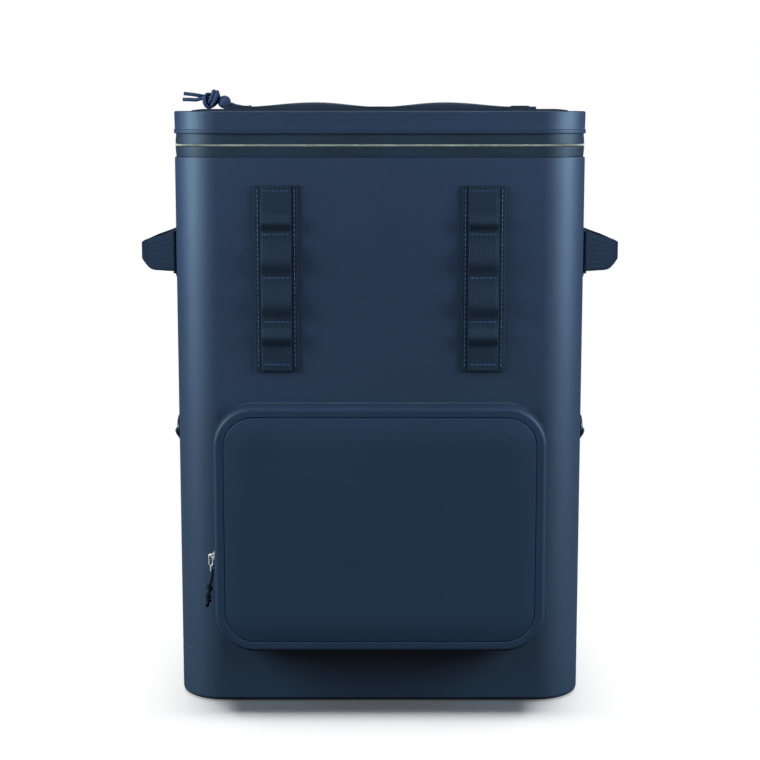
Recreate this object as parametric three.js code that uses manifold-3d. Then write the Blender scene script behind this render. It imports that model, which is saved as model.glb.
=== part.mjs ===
import * as THREE from 'three';
import { mergeVertices } from 'three/addons/utils/BufferGeometryUtils.js';
import Module from 'manifold-3d';

const wasm = await Module();
wasm.setup();

// A soft cooler backpack. Millimetres, +Z up, the front faces -Y.
// The origin is the middle of the flat bottom.

// Insulated tub
const bodyWidth = 362.4;
const bodyDepth = 225;
const bodyHeight = 487.4;
const cornerRadius = 40;
const foamWall = 20;
const foamFloor = 22;
const bottomRound = 4;

// Lid and the zip band under it
const zipBandHeight = 20.4;
const lidHeight = 19.2;
const lidEdgeRound = 1.5;
const hemHeight = 3.4;
const hemProud = 0.5;
const hingeWidth = 240;
const tapeThickness = 2;
const tapeRecess = 1.4;
const coilRecess = 0.5;
const coilHeight = 2;
const coilThickness = 2.6;

// Clearance between neighbouring pieces
const gap = 0.3;

// Webbing
const webbingThickness = 1.6;
const wideWebbing = 38.1;
const narrowWebbing = 26;

// Strap with two loops on the lid, on its base of wide webbing
const lidBaseLength = 342;
const lidBaseWidth = 50.8;
const lidBaseThickness = 1.8;
const lidBaseTaper = 9;
const lidBaseEdge = 0.6;
const lidStrapLength = 286;
const lidStrapWidth = 25.4;
const lidStrapThickness = 2;
const lidStrapFoldLength = 15;
const lidStrapFoldRise = 0.8;
const lidStrapFoldInset = 6.5;
const lidTackLength = 14.4;
const lidLoopLength = 100;
const lidLoopRise = 3.6;

// Webbing ladders on the front
const ladderSpacing = 180.4;
const ladderTopDrop = 24;
const ladderAbovePocket = 28.7;
const ladderTackInset = 4.9;
const backingThickness = 1.4;
const ladderLoopRise = 3.6;

// Moulded front pocket
const pocketWidth = 290.2;
const pocketHeight = 218.4;
const pocketBottom = 54.5;
const pocketDepth = 28;
const pocketRadius = 35;
const pocketWall = 2;
const pocketPanel = 3;
const pocketEdgeRound = 3.5;
const weldInset = 8.8;
const weldDepth = 0.8;
const panelCrown = 2.4;
const pocketRim = 1.6;
const pocketZipBand = 7;
const pocketTapeRecess = 0.9;
const pocketCoilHeight = 1.8;
const pocketCoilProud = 1.2;
const pocketZipEnd = 73.5;

// Pocket slider and its wire puller
const sliderLength = 8;
const sliderWidth = 7;
const sliderPlate = 1;
const sliderAboveEnd = 4;
const bridgeLength = 2.4;
const bridgeWall = 0.9;
const pullerWire = 1.45;
const pullerWidth = 4.7;
const pullerLength = 10.4;
const pullerDrop = 1;
const upperKnotWidth = 3.8;
const upperKnotLength = 6;
const lowerKnotWidth = 3;
const lowerKnotLength = 7;
const frayedWidth = 1.9;

// Webbing carry handles on the sides
const handleDrop = 66.2;
const handleSpan = 100;
const handleFoot = 22;
const handleReach = 39.5;
const patchThickness = 1;
const patchHeight = 44;
const patchLength = 142;

// Side rings in their tabs
const ringHeight = 235.2;
const ringForward = 30;
const ringWire = 3.4;
const ringWidth = 33;
const ringLoop = 15.5;
const tabWidth = 24;
const tabLength = 8.5;
const tabThickness = 1.8;

// Back pad
const padWidth = 250;
const padBottom = 85;
const padTopDrop = 57;
const padRadius = 30;
const padPlate = 4;
const cushionThickness = 8;
const cushionInset = 10;
const cushionRound = 3;
const spineWidth = 26;
const lumbarShare = 0.3;

// Shoulder straps
const yokeWidth = 190;
const yokeHeight = 36;
const yokeThickness = 9;
const yokeTopDrop = 17;
const strapSpacing = 124;
const strapSplay = 35;
const strapWidth = 64;
const strapThickness = 12;
const strapStandoff = 56;
const lockHeight = 135;
const lockWidth = 34;
const lockLength = 30;
const lockThickness = 4;
const lockBar = 4;
const lockSlot = 7;
const adjusterWebbing = 24;
const adjusterTail = 62;
const adjusterEase = 6;
const adjusterSag = 3;
const anchorSpacing = 264;
const anchorBottom = 38;
const anchorWidth = 32;
const anchorHeight = 24;
const anchorThickness = 4;

// Slider, bead and knot of the lid zip's cord
const cordThickness = 3.5;
const thinCordThickness = 1.5;
const mainSliderLength = 16;
const mainSliderHeight = 12;
const mainSliderPlate = 2.4;
const lugReach = 8;
const lugThickness = 2;
const lugHole = 2.1;
const mainSliderPlace = -132;
const beadLength = 12.2;
const beadThickness = 11.6;
const beadTilt = -0.5;
const knotSize = 4.5;
const knotTilt = 0.3;

// Smoothness of curved stretches
const cornerSteps = 7;
const loopSteps = 9;
const cordSides = 8;
const wireSides = 6;

const coilMiddle = bodyHeight + zipBandHeight / 2;
const lidBottom = bodyHeight + zipBandHeight;
const lidTop = lidBottom + lidHeight;
const frontPlane = -bodyDepth / 2;
const backPlane = bodyDepth / 2;
const pocketTop = pocketBottom + pocketHeight;
const pocketMiddle = pocketBottom + pocketHeight / 2;
const lidBaseTop = lidTop + gap + lidBaseThickness;

// Free cords: points chosen by hand, from the exit to the far end
const mainCordRoutes = {
  a: [
    [-133.6, 119.6, 497.6], [-137.6, 119.6, 499.4], [-139.6, 119.3, 504], [-140, 118.6, 510],
    [-140, 118, 517], [-139.8, 117, 524], [-139.2, 113.6, 529.6], [-138.4, 107.5, 531.4],
    [-137.6, 100, 530], [-137, 92, 529.3], [-136.4, 84, 529.3], [-135.8, 76, 529.3],
    [-135.2, 68, 529.3], [-134.6, 60, 529.3], [-134, 52, 529.4], [-133.4, 44, 529.9],
    [-132.8, 37, 530.8], [-132.8, 30, 531.6], [-134, 24, 532.4], [-137.4, 20.2, 533.4],
  ],
  b: [
    [-130.4, 119.6, 497.6], [-126.6, 119.6, 499.4], [-125, 119.3, 504], [-125, 118.6, 510],
    [-125.6, 118, 517], [-126.4, 117, 524], [-127, 113.6, 529.6], [-127.6, 107.5, 531.4],
    [-128.2, 100, 530], [-128.6, 92, 529.3], [-129, 84, 529.3], [-129.2, 76, 529.3],
    [-129.3, 68, 529.3], [-129.4, 60, 529.3], [-129.4, 52, 529.4], [-129.2, 44, 529.9],
    [-128.8, 37, 530.8], [-128.8, 30, 531.8], [-130, 23, 533.8], [-134, 18, 536.2], [-137.6, 17.4, 537],
  ],
};
const tailRoutes = {
  a: [[-164.2, 18.6, 541.2], [-171, 18.4, 541.9], [-177, 18, 542.7], [-182.6, 17.6, 543.3]],
  b: [[-163.9, 19.6, 537.2], [-171, 20.4, 537.6], [-177.6, 21, 537.8], [-184, 21.4, 537.9]],
};
const beadPlace = [-145.2, 19.4, 535.5];
const knotPlace = [-157.6, 18.8, 538.6];
const pocketCordRoute = [
  [-149.9, -117.6, 129.2], [-149.3, -117.9, 126.4], [-149.1, -118.2, 123], [-149.5, -118.4, 119],
  [-150.1, -118.4, 115], [-150.6, -118.4, 111.6],
];
const pocketTailRoute = [[-151.5, -118.4, 97.4], [-152.5, -118.4, 94], [-154.1, -118.4, 90.4]];
const upperKnotPlace = [-150.9, -118.4, 108.2];
const lowerKnotPlace = [-151.1, -118.4, 101.3];

const finishes = {
  coatedFabric: { color: 0x26364f, roughness: 0.5, metalness: 0 },
  zipTape: { color: 0x28323f, roughness: 0.6, metalness: 0 },
  zipCoil: { color: 0x6b6c66, roughness: 0.5, metalness: 0 },
  webbing: { color: 0x242f3d, roughness: 0.85, metalness: 0 },
  pocketFabric: { color: 0x22303f, roughness: 0.55, metalness: 0 },
  cord: { color: 0x22365a, roughness: 0.8, metalness: 0 },
  thinCord: { color: 0x10131a, roughness: 0.8, metalness: 0 },
  pullerMetal: { color: 0xb5b5b5, roughness: 0.3, metalness: 1 },
  ringMetal: { color: 0x3a3d3a, roughness: 0.4, metalness: 1 },
  meshFabric: { color: 0x1d2530, roughness: 0.95, metalness: 0 },
  plastic: { color: 0x15181d, roughness: 0.5, metalness: 0 },
};

const backpack = new THREE.Group();

function addPiece(name, geometry, finish) {
  const mesh = new THREE.Mesh(geometry, new THREE.MeshStandardMaterial(finishes[finish]));
  mesh.name = name;
  backpack.add(mesh);
  return mesh;
}

// One rounded corner of an outline, counted anticlockwise from +X +Y.
function cornerArc(halfX, halfY, radius, quarter, steps = cornerSteps) {
  const round = Math.min(Math.max(radius, 0.5), halfX, halfY);
  const signX = quarter === 0 || quarter === 3 ? 1 : -1;
  const signY = quarter < 2 ? 1 : -1;
  const points = [];
  for (let i = 0; i <= steps; i += 1) {
    const angle = (quarter + i / steps) * Math.PI / 2;
    points.push({
      x: signX * (halfX - round) + round * Math.cos(angle),
      y: signY * (halfY - round) + round * Math.sin(angle),
    });
  }
  return points;
}

function roundedOutline(halfX, halfY, radius, steps = cornerSteps) {
  return [0, 1, 2, 3].flatMap((quarter) => cornerArc(halfX, halfY, radius, quarter, steps));
}

// A closed body through rings of points: capped at its ends, or joined end to end.
function loft(rings, joined = false) {
  const count = rings[0].length;
  const positions = rings.flat().flatMap((point) => [point.x, point.y, point.z]);
  const faces = [];
  const spans = joined ? rings.length : rings.length - 1;
  for (let i = 0; i < spans; i += 1) {
    const here = i * count;
    const next = ((i + 1) % rings.length) * count;
    for (let j = 0; j < count; j += 1) {
      const k = (j + 1) % count;
      faces.push([here + j, next + j, next + k], [here + j, next + k, here + k]);
    }
  }
  if (!joined) {
    const lastRing = (rings.length - 1) * count;
    for (let j = 1; j < count - 1; j += 1) {
      faces.push([0, j, j + 1], [lastRing, lastRing + j + 1, lastRing + j]);
    }
  }
  const corner = (index) => new THREE.Vector3().fromArray(positions, index * 3);
  let volume = 0;
  faces.forEach(([a, b, c]) => {
    volume += corner(a).dot(corner(b).cross(corner(c)));
  });
  const outward = volume > 0 ? faces : faces.map(([a, b, c]) => [a, c, b]);
  const geometry = new THREE.BufferGeometry();
  geometry.setAttribute('position', new THREE.Float32BufferAttribute(positions, 3));
  geometry.setIndex(outward.flat());
  geometry.computeVertexNormals();
  return geometry;
}

// Turns a flat outline into 3-D points at one level.
function ringAt(outline, level, place) {
  return outline.map((point) => place(point.x, point.y, level));
}

function upright(x, y, level) {
  return new THREE.Vector3(x, y, level);
}

// The pocket's outline lies in the front plane and is drawn upside down, so its +Y side is the lower one.
function onFront(x, y, level) {
  return new THREE.Vector3(x, frontPlane - level, pocketMiddle - y);
}

function onBack(x, y, level) {
  return new THREE.Vector3(x, backPlane + level, y);
}

function bodyRing(inset, level) {
  const outline = roundedOutline(bodyWidth / 2 - inset, bodyDepth / 2 - inset, cornerRadius - inset);
  return ringAt(outline, level, upright);
}

function pocketRing(inset, level) {
  const outline = roundedOutline(pocketWidth / 2 - inset, pocketHeight / 2 - inset, pocketRadius - inset);
  return ringAt(outline, level, onFront);
}

// Insets and levels of a quarter round between a wall and a face.
function quarterRound(radius, steps, level, direction) {
  const rows = [];
  for (let i = 0; i <= steps; i += 1) {
    const angle = i / steps * Math.PI / 2;
    rows.push({
      inset: radius * (1 - Math.cos(angle)),
      level: level + direction * radius * Math.sin(angle),
    });
  }
  return rows;
}

// A band along an open outline, with its cross-section's corners given as outline and level.
function band(corners, place) {
  const rings = corners[0].outline.map((_, i) => (
    corners.map(({ outline, level }) => place(outline[i].x, outline[i].y, level))
  ));
  return loft(rings);
}

function toSolid(geometry) {
  const bare = geometry.clone();
  bare.deleteAttribute('normal');
  bare.deleteAttribute('uv');
  const merged = mergeVertices(bare, 1e-4);
  return new wasm.Manifold(new wasm.Mesh({
    numProp: 3,
    vertProperties: new Float32Array(merged.attributes.position.array),
    triVerts: new Uint32Array(merged.index.array),
  }));
}

function fromSolid(solid) {
  const mesh = solid.getMesh();
  const geometry = new THREE.BufferGeometry();
  geometry.setAttribute('position', new THREE.Float32BufferAttribute(mesh.vertProperties, 3));
  geometry.setIndex(Array.from(mesh.triVerts));
  geometry.computeVertexNormals();
  return geometry;
}

function joinAll(geometries) {
  return fromSolid(geometries.map(toSolid).reduce((whole, next) => whole.add(next)));
}

function box(low, high) {
  const size = high.map((value, i) => value - low[i]);
  const geometry = new THREE.BoxGeometry(...size);
  geometry.translate(...low.map((value, i) => value + size[i] / 2));
  return geometry;
}

// Extrudes a shape whose x and y run along two given axes, centred on the third.
function extrudeAlong(shape, width, xAxis, yAxis, origin, options = {}) {
  const settings = { depth: width, bevelEnabled: false, curveSegments: 6, ...options };
  const geometry = new THREE.ExtrudeGeometry(shape, settings);
  geometry.translate(0, 0, -width / 2);
  const across = new THREE.Vector3(...xAxis);
  const up = new THREE.Vector3(...yAxis);
  const basis = new THREE.Matrix4().makeBasis(across, up, across.clone().cross(up));
  geometry.applyMatrix4(basis.setPosition(...origin));
  return geometry;
}

function shapeOf(points) {
  return new THREE.Shape(points.map((point) => new THREE.Vector2(point.x, point.y)));
}

// Side view of a strap: its centre line thickened to both sides.
function strapShape(line, thickness) {
  const sides = [1, -1].map((side) => line.map((point, i) => {
    const before = line[Math.max(i - 1, 0)];
    const after = line[Math.min(i + 1, line.length - 1)];
    const length = Math.hypot(after.x - before.x, after.y - before.y);
    return {
      x: point.x - side * (after.y - before.y) / length * thickness / 2,
      y: point.y + side * (after.x - before.x) / length * thickness / 2,
    };
  }));
  return shapeOf([...sides[0], ...sides[1].reverse()]);
}

// The height of a loop at a share of its length, steeper on the side its crest is nearer to.
function loopHeight(share, crest) {
  const climb = share < crest ? share / crest : (1 - share) / (1 - crest);
  return Math.sin(climb * Math.PI / 2) ** 2;
}

// A row for each share between hand-set rows, smoothed column by column.
function smoothRows(rows, steps) {
  const columns = Object.keys(rows[0]);
  const smooth = [];
  for (let i = 0; i < rows.length - 1; i += 1) {
    const around = [rows[Math.max(i - 1, 0)], rows[i], rows[i + 1], rows[Math.min(i + 2, rows.length - 1)]];
    for (let j = 0; j < steps; j += 1) {
      const t = j / steps;
      smooth.push(Object.fromEntries(columns.map((column) => {
        const [a, b, c, d] = around.map((row) => row[column]);
        const slopeIn = (c - a) / 2;
        const slopeOut = (d - b) / 2;
        const bend = 3 * (c - b) - 2 * slopeIn - slopeOut;
        const twist = slopeIn + slopeOut - 2 * (c - b);
        return [column, b + t * (slopeIn + t * (bend + t * twist))];
      })));
    }
  }
  return [...smooth, rows[rows.length - 1]];
}

// A flat strip or pad along a line whose width runs across it, along X.
function sweepAcross(stations, sectionOf) {
  const rings = stations.map((station, i) => {
    const before = stations[Math.max(i - 1, 0)].centre;
    const after = stations[Math.min(i + 1, stations.length - 1)].centre;
    const along = after.clone().sub(before);
    along.x = 0;
    along.normalize();
    const out = new THREE.Vector3(0, along.z, -along.y);
    return sectionOf(station).map((point) => new THREE.Vector3(
      station.centre.x + point.x,
      station.centre.y + out.y * point.y,
      station.centre.z + out.z * point.y,
    ));
  });
  return loft(rings);
}

function flatSection(width, thickness) {
  return [
    { x: -width / 2, y: -thickness / 2 },
    { x: width / 2, y: -thickness / 2 },
    { x: width / 2, y: thickness / 2 },
    { x: -width / 2, y: thickness / 2 },
  ];
}

// Round wire bent into a closed loop that lies in one plane.
function wireLoop(outline, wire, sides, place) {
  const centres = outline.map((point) => place(point.x, point.y, 0));
  const normal = place(0, 0, 1).sub(place(0, 0, 0));
  const rings = centres.map((centre, i) => {
    const before = centres[(i + centres.length - 1) % centres.length];
    const after = centres[(i + 1) % centres.length];
    const side = after.clone().sub(before).normalize().cross(normal);
    return Array.from({ length: sides }, (_, j) => {
      const angle = j / sides * 2 * Math.PI;
      return centre.clone()
        .addScaledVector(side, wire / 2 * Math.cos(angle))
        .addScaledVector(normal, wire / 2 * Math.sin(angle));
    });
  });
  return loft(rings, true);
}

// A step every two diameters.
function cordTube(route, thickness) {
  const path = new THREE.CatmullRomCurve3(route.map((point) => new THREE.Vector3(...point)));
  const section = new THREE.Shape();
  section.absarc(0, 0, thickness / 2, 0, Math.PI * 2, false);
  return new THREE.ExtrudeGeometry(section, {
    extrudePath: path,
    steps: Math.max(2, Math.round(path.getLength() / (2 * thickness))),
    curveSegments: cordSides / 2,
    bevelEnabled: false,
  });
}

function knot(place, size, thickness, stretch, tilt) {
  const geometry = new THREE.TorusKnotGeometry(size, thickness / 2, 30, 6, 2, 3);
  geometry.scale(...stretch);
  geometry.rotateX(Math.PI / 2);
  geometry.rotateY(tilt);
  geometry.translate(...place);
  return geometry;
}

function makeBody() {
  const rows = quarterRound(bottomRound, 3, bottomRound, -1).reverse();
  addPiece('body_shell', loft([
    ...rows.map(({ inset, level }) => bodyRing(inset, level)),
    bodyRing(0, bodyHeight),
    bodyRing(foamWall, bodyHeight),
    bodyRing(foamWall, foamFloor),
  ]), 'coatedFabric');
}

function makeLid() {
  const edge = quarterRound(lidEdgeRound, 2, lidTop - lidEdgeRound, 1);
  const hemTurn = hemProud / 2;
  addPiece('lid', loft([
    bodyRing(hemProud, lidBottom),
    bodyRing(-hemProud, lidBottom + hemTurn),
    bodyRing(-hemProud, lidBottom + hemHeight - hemTurn),
    bodyRing(0, lidBottom + hemHeight),
    ...edge.map(({ inset, level }) => bodyRing(inset, level)),
  ]), 'coatedFabric');
}

// The zip runs round everything but the hinge, in the middle of the back.
function zipOutline(inset) {
  const halfX = bodyWidth / 2 - inset;
  const halfY = bodyDepth / 2 - inset;
  const end = hingeWidth / 2 + gap;
  const corners = [1, 2, 3, 0].flatMap((quarter) => cornerArc(halfX, halfY, cornerRadius - inset, quarter));
  return [{ x: -end, y: halfY }, ...corners, { x: end, y: halfY }];
}

function makeZipBand() {
  const tape = (edgeLevel, coilLevel) => {
    const coilSide = coilRecess + gap;
    return band([
      { outline: zipOutline(tapeRecess), level: edgeLevel },
      { outline: zipOutline(coilSide), level: coilLevel },
      { outline: zipOutline(coilSide + tapeThickness), level: coilLevel },
      { outline: zipOutline(tapeRecess + tapeThickness), level: edgeLevel },
    ], upright);
  };
  const coilLow = coilMiddle - coilHeight / 2;
  const coilHigh = coilMiddle + coilHeight / 2;
  addPiece('zipper_tape_lower', tape(bodyHeight + gap, coilLow - gap), 'zipTape');
  addPiece('zipper_tape_upper', tape(lidBottom - gap, coilHigh + gap), 'zipTape');
  addPiece('zipper_coil', band([
    { outline: zipOutline(coilRecess), level: coilLow },
    { outline: zipOutline(coilRecess), level: coilHigh },
    { outline: zipOutline(coilRecess + coilThickness), level: coilHigh },
    { outline: zipOutline(coilRecess + coilThickness), level: coilLow },
  ], upright), 'zipCoil');
  const hingeFace = backPlane - tapeRecess;
  addPiece('lid_hinge', box(
    [-hingeWidth / 2, hingeFace - tapeThickness, bodyHeight + gap],
    [hingeWidth / 2, hingeFace, lidBottom - gap],
  ), 'coatedFabric');
}

function makeLidStrap() {
  const half = lidBaseLength / 2;
  const base = shapeOf([
    { x: -half, y: 0 },
    { x: half, y: 0 },
    { x: half, y: lidBaseEdge },
    { x: half - lidBaseTaper, y: lidBaseThickness },
    { x: -half + lidBaseTaper, y: lidBaseThickness },
    { x: -half, y: lidBaseEdge },
  ]);
  const acrossLid = [[1, 0, 0], [0, 0, 1]];
  addPiece('lid_webbing', extrudeAlong(base, lidBaseWidth, ...acrossLid, [0, 0, lidTop + gap]), 'webbing');

  const halfStrap = lidStrapLength / 2;
  const line = [];
  for (let i = 0; i <= loopSteps; i += 1) {
    const share = i / loopSteps;
    line.push({
      x: lidTackLength / 2 + share * lidLoopLength,
      y: lidStrapThickness / 2 + lidLoopRise * loopHeight(share, 0.5),
    });
  }
  line.push({ x: halfStrap, y: lidStrapThickness / 2 });
  const mirrored = line.map((point) => ({ x: -point.x, y: point.y })).reverse();
  const side = strapShape([...mirrored, ...line], lidStrapThickness);
  const strap = extrudeAlong(side, lidStrapWidth, ...acrossLid, [0, 0, lidBaseTop + gap]);
  const foldEnd = halfStrap - lidStrapFoldInset;
  const foldTop = lidBaseTop + gap + lidStrapThickness + lidStrapFoldRise;
  const edge = lidStrapWidth / 2;
  const folds = [-1, 1].map((sign) => {
    const ends = [sign * foldEnd, sign * (foldEnd - lidStrapFoldLength)].sort((a, b) => a - b);
    return box([ends[0], -edge, foldTop - lidStrapThickness], [ends[1], edge, foldTop]);
  });
  addPiece('lid_strap', joinAll([strap, ...folds]), 'webbing');
}

// Where each loop of a ladder starts, ends and crests, as shares of the pitch downwards from its upper tack.
const ladderLoops = [
  { start: 0.5, end: 0.93, crest: 0.5 },
  { start: 0.05, end: 0.96, crest: 0.62 },
  { start: 0.05, end: 0.96, crest: 0.62 },
  { start: 0.1, end: 0.6, crest: 0.49 },
];

function makeLadders() {
  const top = bodyHeight - ladderTopDrop;
  const bottom = pocketTop + ladderAbovePocket;
  const pitch = (top - bottom - 2 * ladderTackInset) / ladderLoops.length;
  const strapBase = gap + webbingThickness / 2;
  const line = [{ x: top - gap, y: strapBase }];
  ladderLoops.forEach((loop, i) => {
    const tack = top - ladderTackInset - i * pitch;
    const length = (loop.end - loop.start) * pitch;
    for (let j = 0; j <= loopSteps; j += 1) {
      const share = j / loopSteps;
      line.push({
        x: tack - loop.start * pitch - share * length,
        y: strapBase + ladderLoopRise * loopHeight(share, loop.crest),
      });
    }
  });
  line.push({ x: bottom + gap, y: strapBase });
  [['left', -1], ['right', 1]].forEach(([side, sign]) => {
    const middle = sign * ladderSpacing / 2;
    const backingFace = frontPlane - gap - backingThickness;
    addPiece(`molle_backing_${side}`, box(
      [middle - wideWebbing / 2, backingFace, bottom],
      [middle + wideWebbing / 2, frontPlane - gap, top],
    ), 'webbing');
    const strap = strapShape(line, webbingThickness);
    addPiece(`molle_strap_${side}`, extrudeAlong(
      strap, narrowWebbing, [0, 0, 1], [0, -1, 0], [middle, backingFace, 0],
    ), 'webbing');
  });
}

// The pocket's zip runs up one side, over the top and down the other; the plain gusset closes the rest.
function pocketZipOutline(inset) {
  const halfX = pocketWidth / 2 - inset;
  const halfY = pocketHeight / 2 - inset;
  const end = pocketMiddle - (pocketBottom + pocketZipEnd);
  const corners = [2, 3].flatMap((quarter) => cornerArc(halfX, halfY, pocketRadius - inset, quarter));
  return [{ x: -halfX, y: end }, ...corners, { x: halfX, y: end }];
}

function pocketLowerOutline(inset) {
  const halfX = pocketWidth / 2 - inset;
  const halfY = pocketHeight / 2 - inset;
  const end = pocketMiddle - (pocketBottom + pocketZipEnd) + gap;
  const corners = [0, 1].flatMap((quarter) => cornerArc(halfX, halfY, pocketRadius - inset, quarter));
  return [{ x: halfX, y: end }, ...corners, { x: -halfX, y: end }];
}

function makePocket() {
  const zipEndLevel = pocketRim + pocketZipBand;
  const middle = pocketRim + pocketZipBand / 2;
  const coilLow = middle - pocketCoilHeight / 2;
  const coilHigh = middle + pocketCoilHeight / 2;
  addPiece('pocket_rear', loft([
    pocketRing(0, gap),
    pocketRing(0, pocketRim),
    pocketRing(pocketWall, pocketRim),
    pocketRing(pocketWall, gap),
  ], true), 'pocketFabric');
  const strip = (outlineOf, outer, low, high) => band([
    { outline: outlineOf(outer), level: low },
    { outline: outlineOf(outer), level: high },
    { outline: outlineOf(outer + pocketWall), level: high },
    { outline: outlineOf(outer + pocketWall), level: low },
  ], onFront);
  const bandLow = pocketRim + gap;
  const bandHigh = zipEndLevel - gap;
  addPiece('pocket_tape_rear', strip(pocketZipOutline, pocketTapeRecess, bandLow, coilLow - gap), 'zipTape');
  addPiece('pocket_coil', strip(pocketZipOutline, -pocketCoilProud, coilLow, coilHigh), 'zipCoil');
  const frontLow = coilHigh + gap;
  addPiece('pocket_tape_front', strip(pocketZipOutline, pocketTapeRecess, frontLow, bandHigh), 'zipTape');
  addPiece('pocket_gusset', strip(pocketLowerOutline, 0, bandLow, bandHigh), 'pocketFabric');
  const edge = quarterRound(pocketEdgeRound, 3, pocketDepth - pocketEdgeRound, 1);
  const groove = weldDepth;
  addPiece('pocket_shell', loft([
    pocketRing(pocketWall, pocketDepth - pocketPanel),
    pocketRing(pocketWall, zipEndLevel),
    pocketRing(0, zipEndLevel),
    ...edge.map(({ inset, level }) => pocketRing(inset, level)),
    pocketRing(weldInset - groove, pocketDepth),
    pocketRing(weldInset, pocketDepth - weldDepth),
    pocketRing(weldInset + groove, pocketDepth),
    pocketRing(weldInset * 3, pocketDepth + panelCrown * 0.7),
    pocketRing(weldInset * 6, pocketDepth + panelCrown),
  ]), 'pocketFabric');
}

function makePocketPuller() {
  const wall = pocketWidth / 2 + pocketCoilProud;
  const level = frontPlane - pocketRim - pocketZipBand / 2;
  const height = pocketBottom + pocketZipEnd + sliderLength / 2 + sliderAboveEnd;
  const plateFace = -wall - gap - sliderPlate;
  const plate = box(
    [plateFace, level - sliderWidth / 2, height - sliderLength / 2],
    [-wall - gap, level + sliderWidth / 2, height + sliderLength / 2],
  );
  const bridgeHalf = pullerWire / 2 + gap;
  const bridgeReach = pullerWire + 2 * gap;
  const root = sliderPlate / 2;
  const outer = shapeOf([
    { x: root, y: -bridgeHalf - bridgeWall },
    { x: root, y: bridgeHalf + bridgeWall },
    { x: -bridgeReach - bridgeWall, y: bridgeHalf + bridgeWall },
    { x: -bridgeReach - bridgeWall, y: -bridgeHalf - bridgeWall },
  ]);
  outer.holes.push(new THREE.Path([
    new THREE.Vector2(0, -bridgeHalf),
    new THREE.Vector2(0, bridgeHalf),
    new THREE.Vector2(-bridgeReach, bridgeHalf),
    new THREE.Vector2(-bridgeReach, -bridgeHalf),
  ]));
  const bridge = extrudeAlong(outer, bridgeLength, [1, 0, 0], [0, 1, 0], [plateFace, level, height]);
  addPiece('pocket_slider', joinAll([plate, bridge]), 'pullerMetal');
  const ringHalf = (pullerWidth - pullerWire) / 2;
  const ring = roundedOutline(ringHalf, (pullerLength - pullerWire) / 2, ringHalf, 3);
  const ringX = plateFace - gap - pullerWidth / 2;
  const facingFront = (x, y, out) => new THREE.Vector3(ringX + x, level - out, height - pullerDrop + y);
  addPiece('pocket_ring', wireLoop(ring, pullerWire, wireSides, facingFront), 'pullerMetal');
  addPiece('pocket_pull_cord', cordTube(pocketCordRoute, thinCordThickness), 'thinCord');
  addPiece('pocket_pull_tail', cordTube(pocketTailRoute, frayedWidth), 'thinCord');
  const bead = (place, width, length) => {
    const geometry = new THREE.SphereGeometry(0.5, 10, 6);
    geometry.rotateX(Math.PI / 2);
    geometry.scale(width, width, length);
    geometry.translate(...place);
    return geometry;
  };
  addPiece('pocket_pull_knot_upper', bead(upperKnotPlace, upperKnotWidth, upperKnotLength), 'thinCord');
  addPiece('pocket_pull_knot_lower', bead(lowerKnotPlace, lowerKnotWidth, lowerKnotLength), 'thinCord');
}

// Half a handle from its sewn foot to the middle of the grip. out is a share of the reach, along a share of
// half the span, low and high shares of the webbing's width, and fold the layers of webbing.
const handleRows = [
  { out: 0, along: 1, low: 0, high: 1, fold: 1 },
  { out: 0.06, along: 0.93, low: 0, high: 1, fold: 1 },
  { out: 0.4, along: 0.78, low: 0, high: 0.87, fold: 1.1 },
  { out: 0.74, along: 0.6, low: 0.02, high: 0.76, fold: 1.4 },
  { out: 0.96, along: 0.38, low: 0.2, high: 0.67, fold: 2.2 },
  { out: 1, along: 0.16, low: 0.22, high: 0.66, fold: 2.6 },
  { out: 1, along: 0, low: 0.22, high: 0.66, fold: 2.6 },
];

function makeHandles() {
  const top = bodyHeight - handleDrop;
  const bottom = top - wideWebbing;
  const seat = bodyWidth / 2 + 2 * gap + patchThickness + webbingThickness / 2;
  const reach = bodyWidth / 2 + handleReach - seat;
  const half = smoothRows(handleRows, 3).map((row) => ({
    ...row,
    x: seat + row.out * (reach - webbingThickness * handleRows[6].fold / 2),
    y: row.along * handleSpan / 2,
  }));
  const foot = { ...half[0], y: half[0].y + handleFoot };
  const front = [foot, ...half];
  const whole = [...front.map((row) => ({ ...row, y: -row.y })), ...front.slice(0, -1).reverse()];
  [['left', -1], ['right', 1]].forEach(([side, sign]) => {
    const patchFace = bodyWidth / 2 + gap;
    const across = [sign * patchFace, sign * (patchFace + patchThickness)].sort((a, b) => a - b);
    const patchMiddle = (top + bottom) / 2;
    addPiece(`handle_patch_${side}`, box(
      [across[0], -patchLength / 2, patchMiddle - patchHeight / 2],
      [across[1], patchLength / 2, patchMiddle + patchHeight / 2],
    ), 'webbing');
    const rings = whole.map((row, i) => {
      const before = whole[Math.max(i - 1, 0)];
      const after = whole[Math.min(i + 1, whole.length - 1)];
      const length = Math.hypot(after.x - before.x, after.y - before.y);
      const out = { x: (after.y - before.y) / length, y: -(after.x - before.x) / length };
      const corner = (face, share) => new THREE.Vector3(
        sign * (row.x + face * out.x * row.fold * webbingThickness / 2),
        row.y + face * out.y * row.fold * webbingThickness / 2,
        bottom + share * wideWebbing,
      );
      return [corner(-1, row.low), corner(1, row.low), corner(1, row.high), corner(-1, row.high)];
    });
    addPiece(`handle_${side}`, loft(rings), 'webbing');
  });
}

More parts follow.
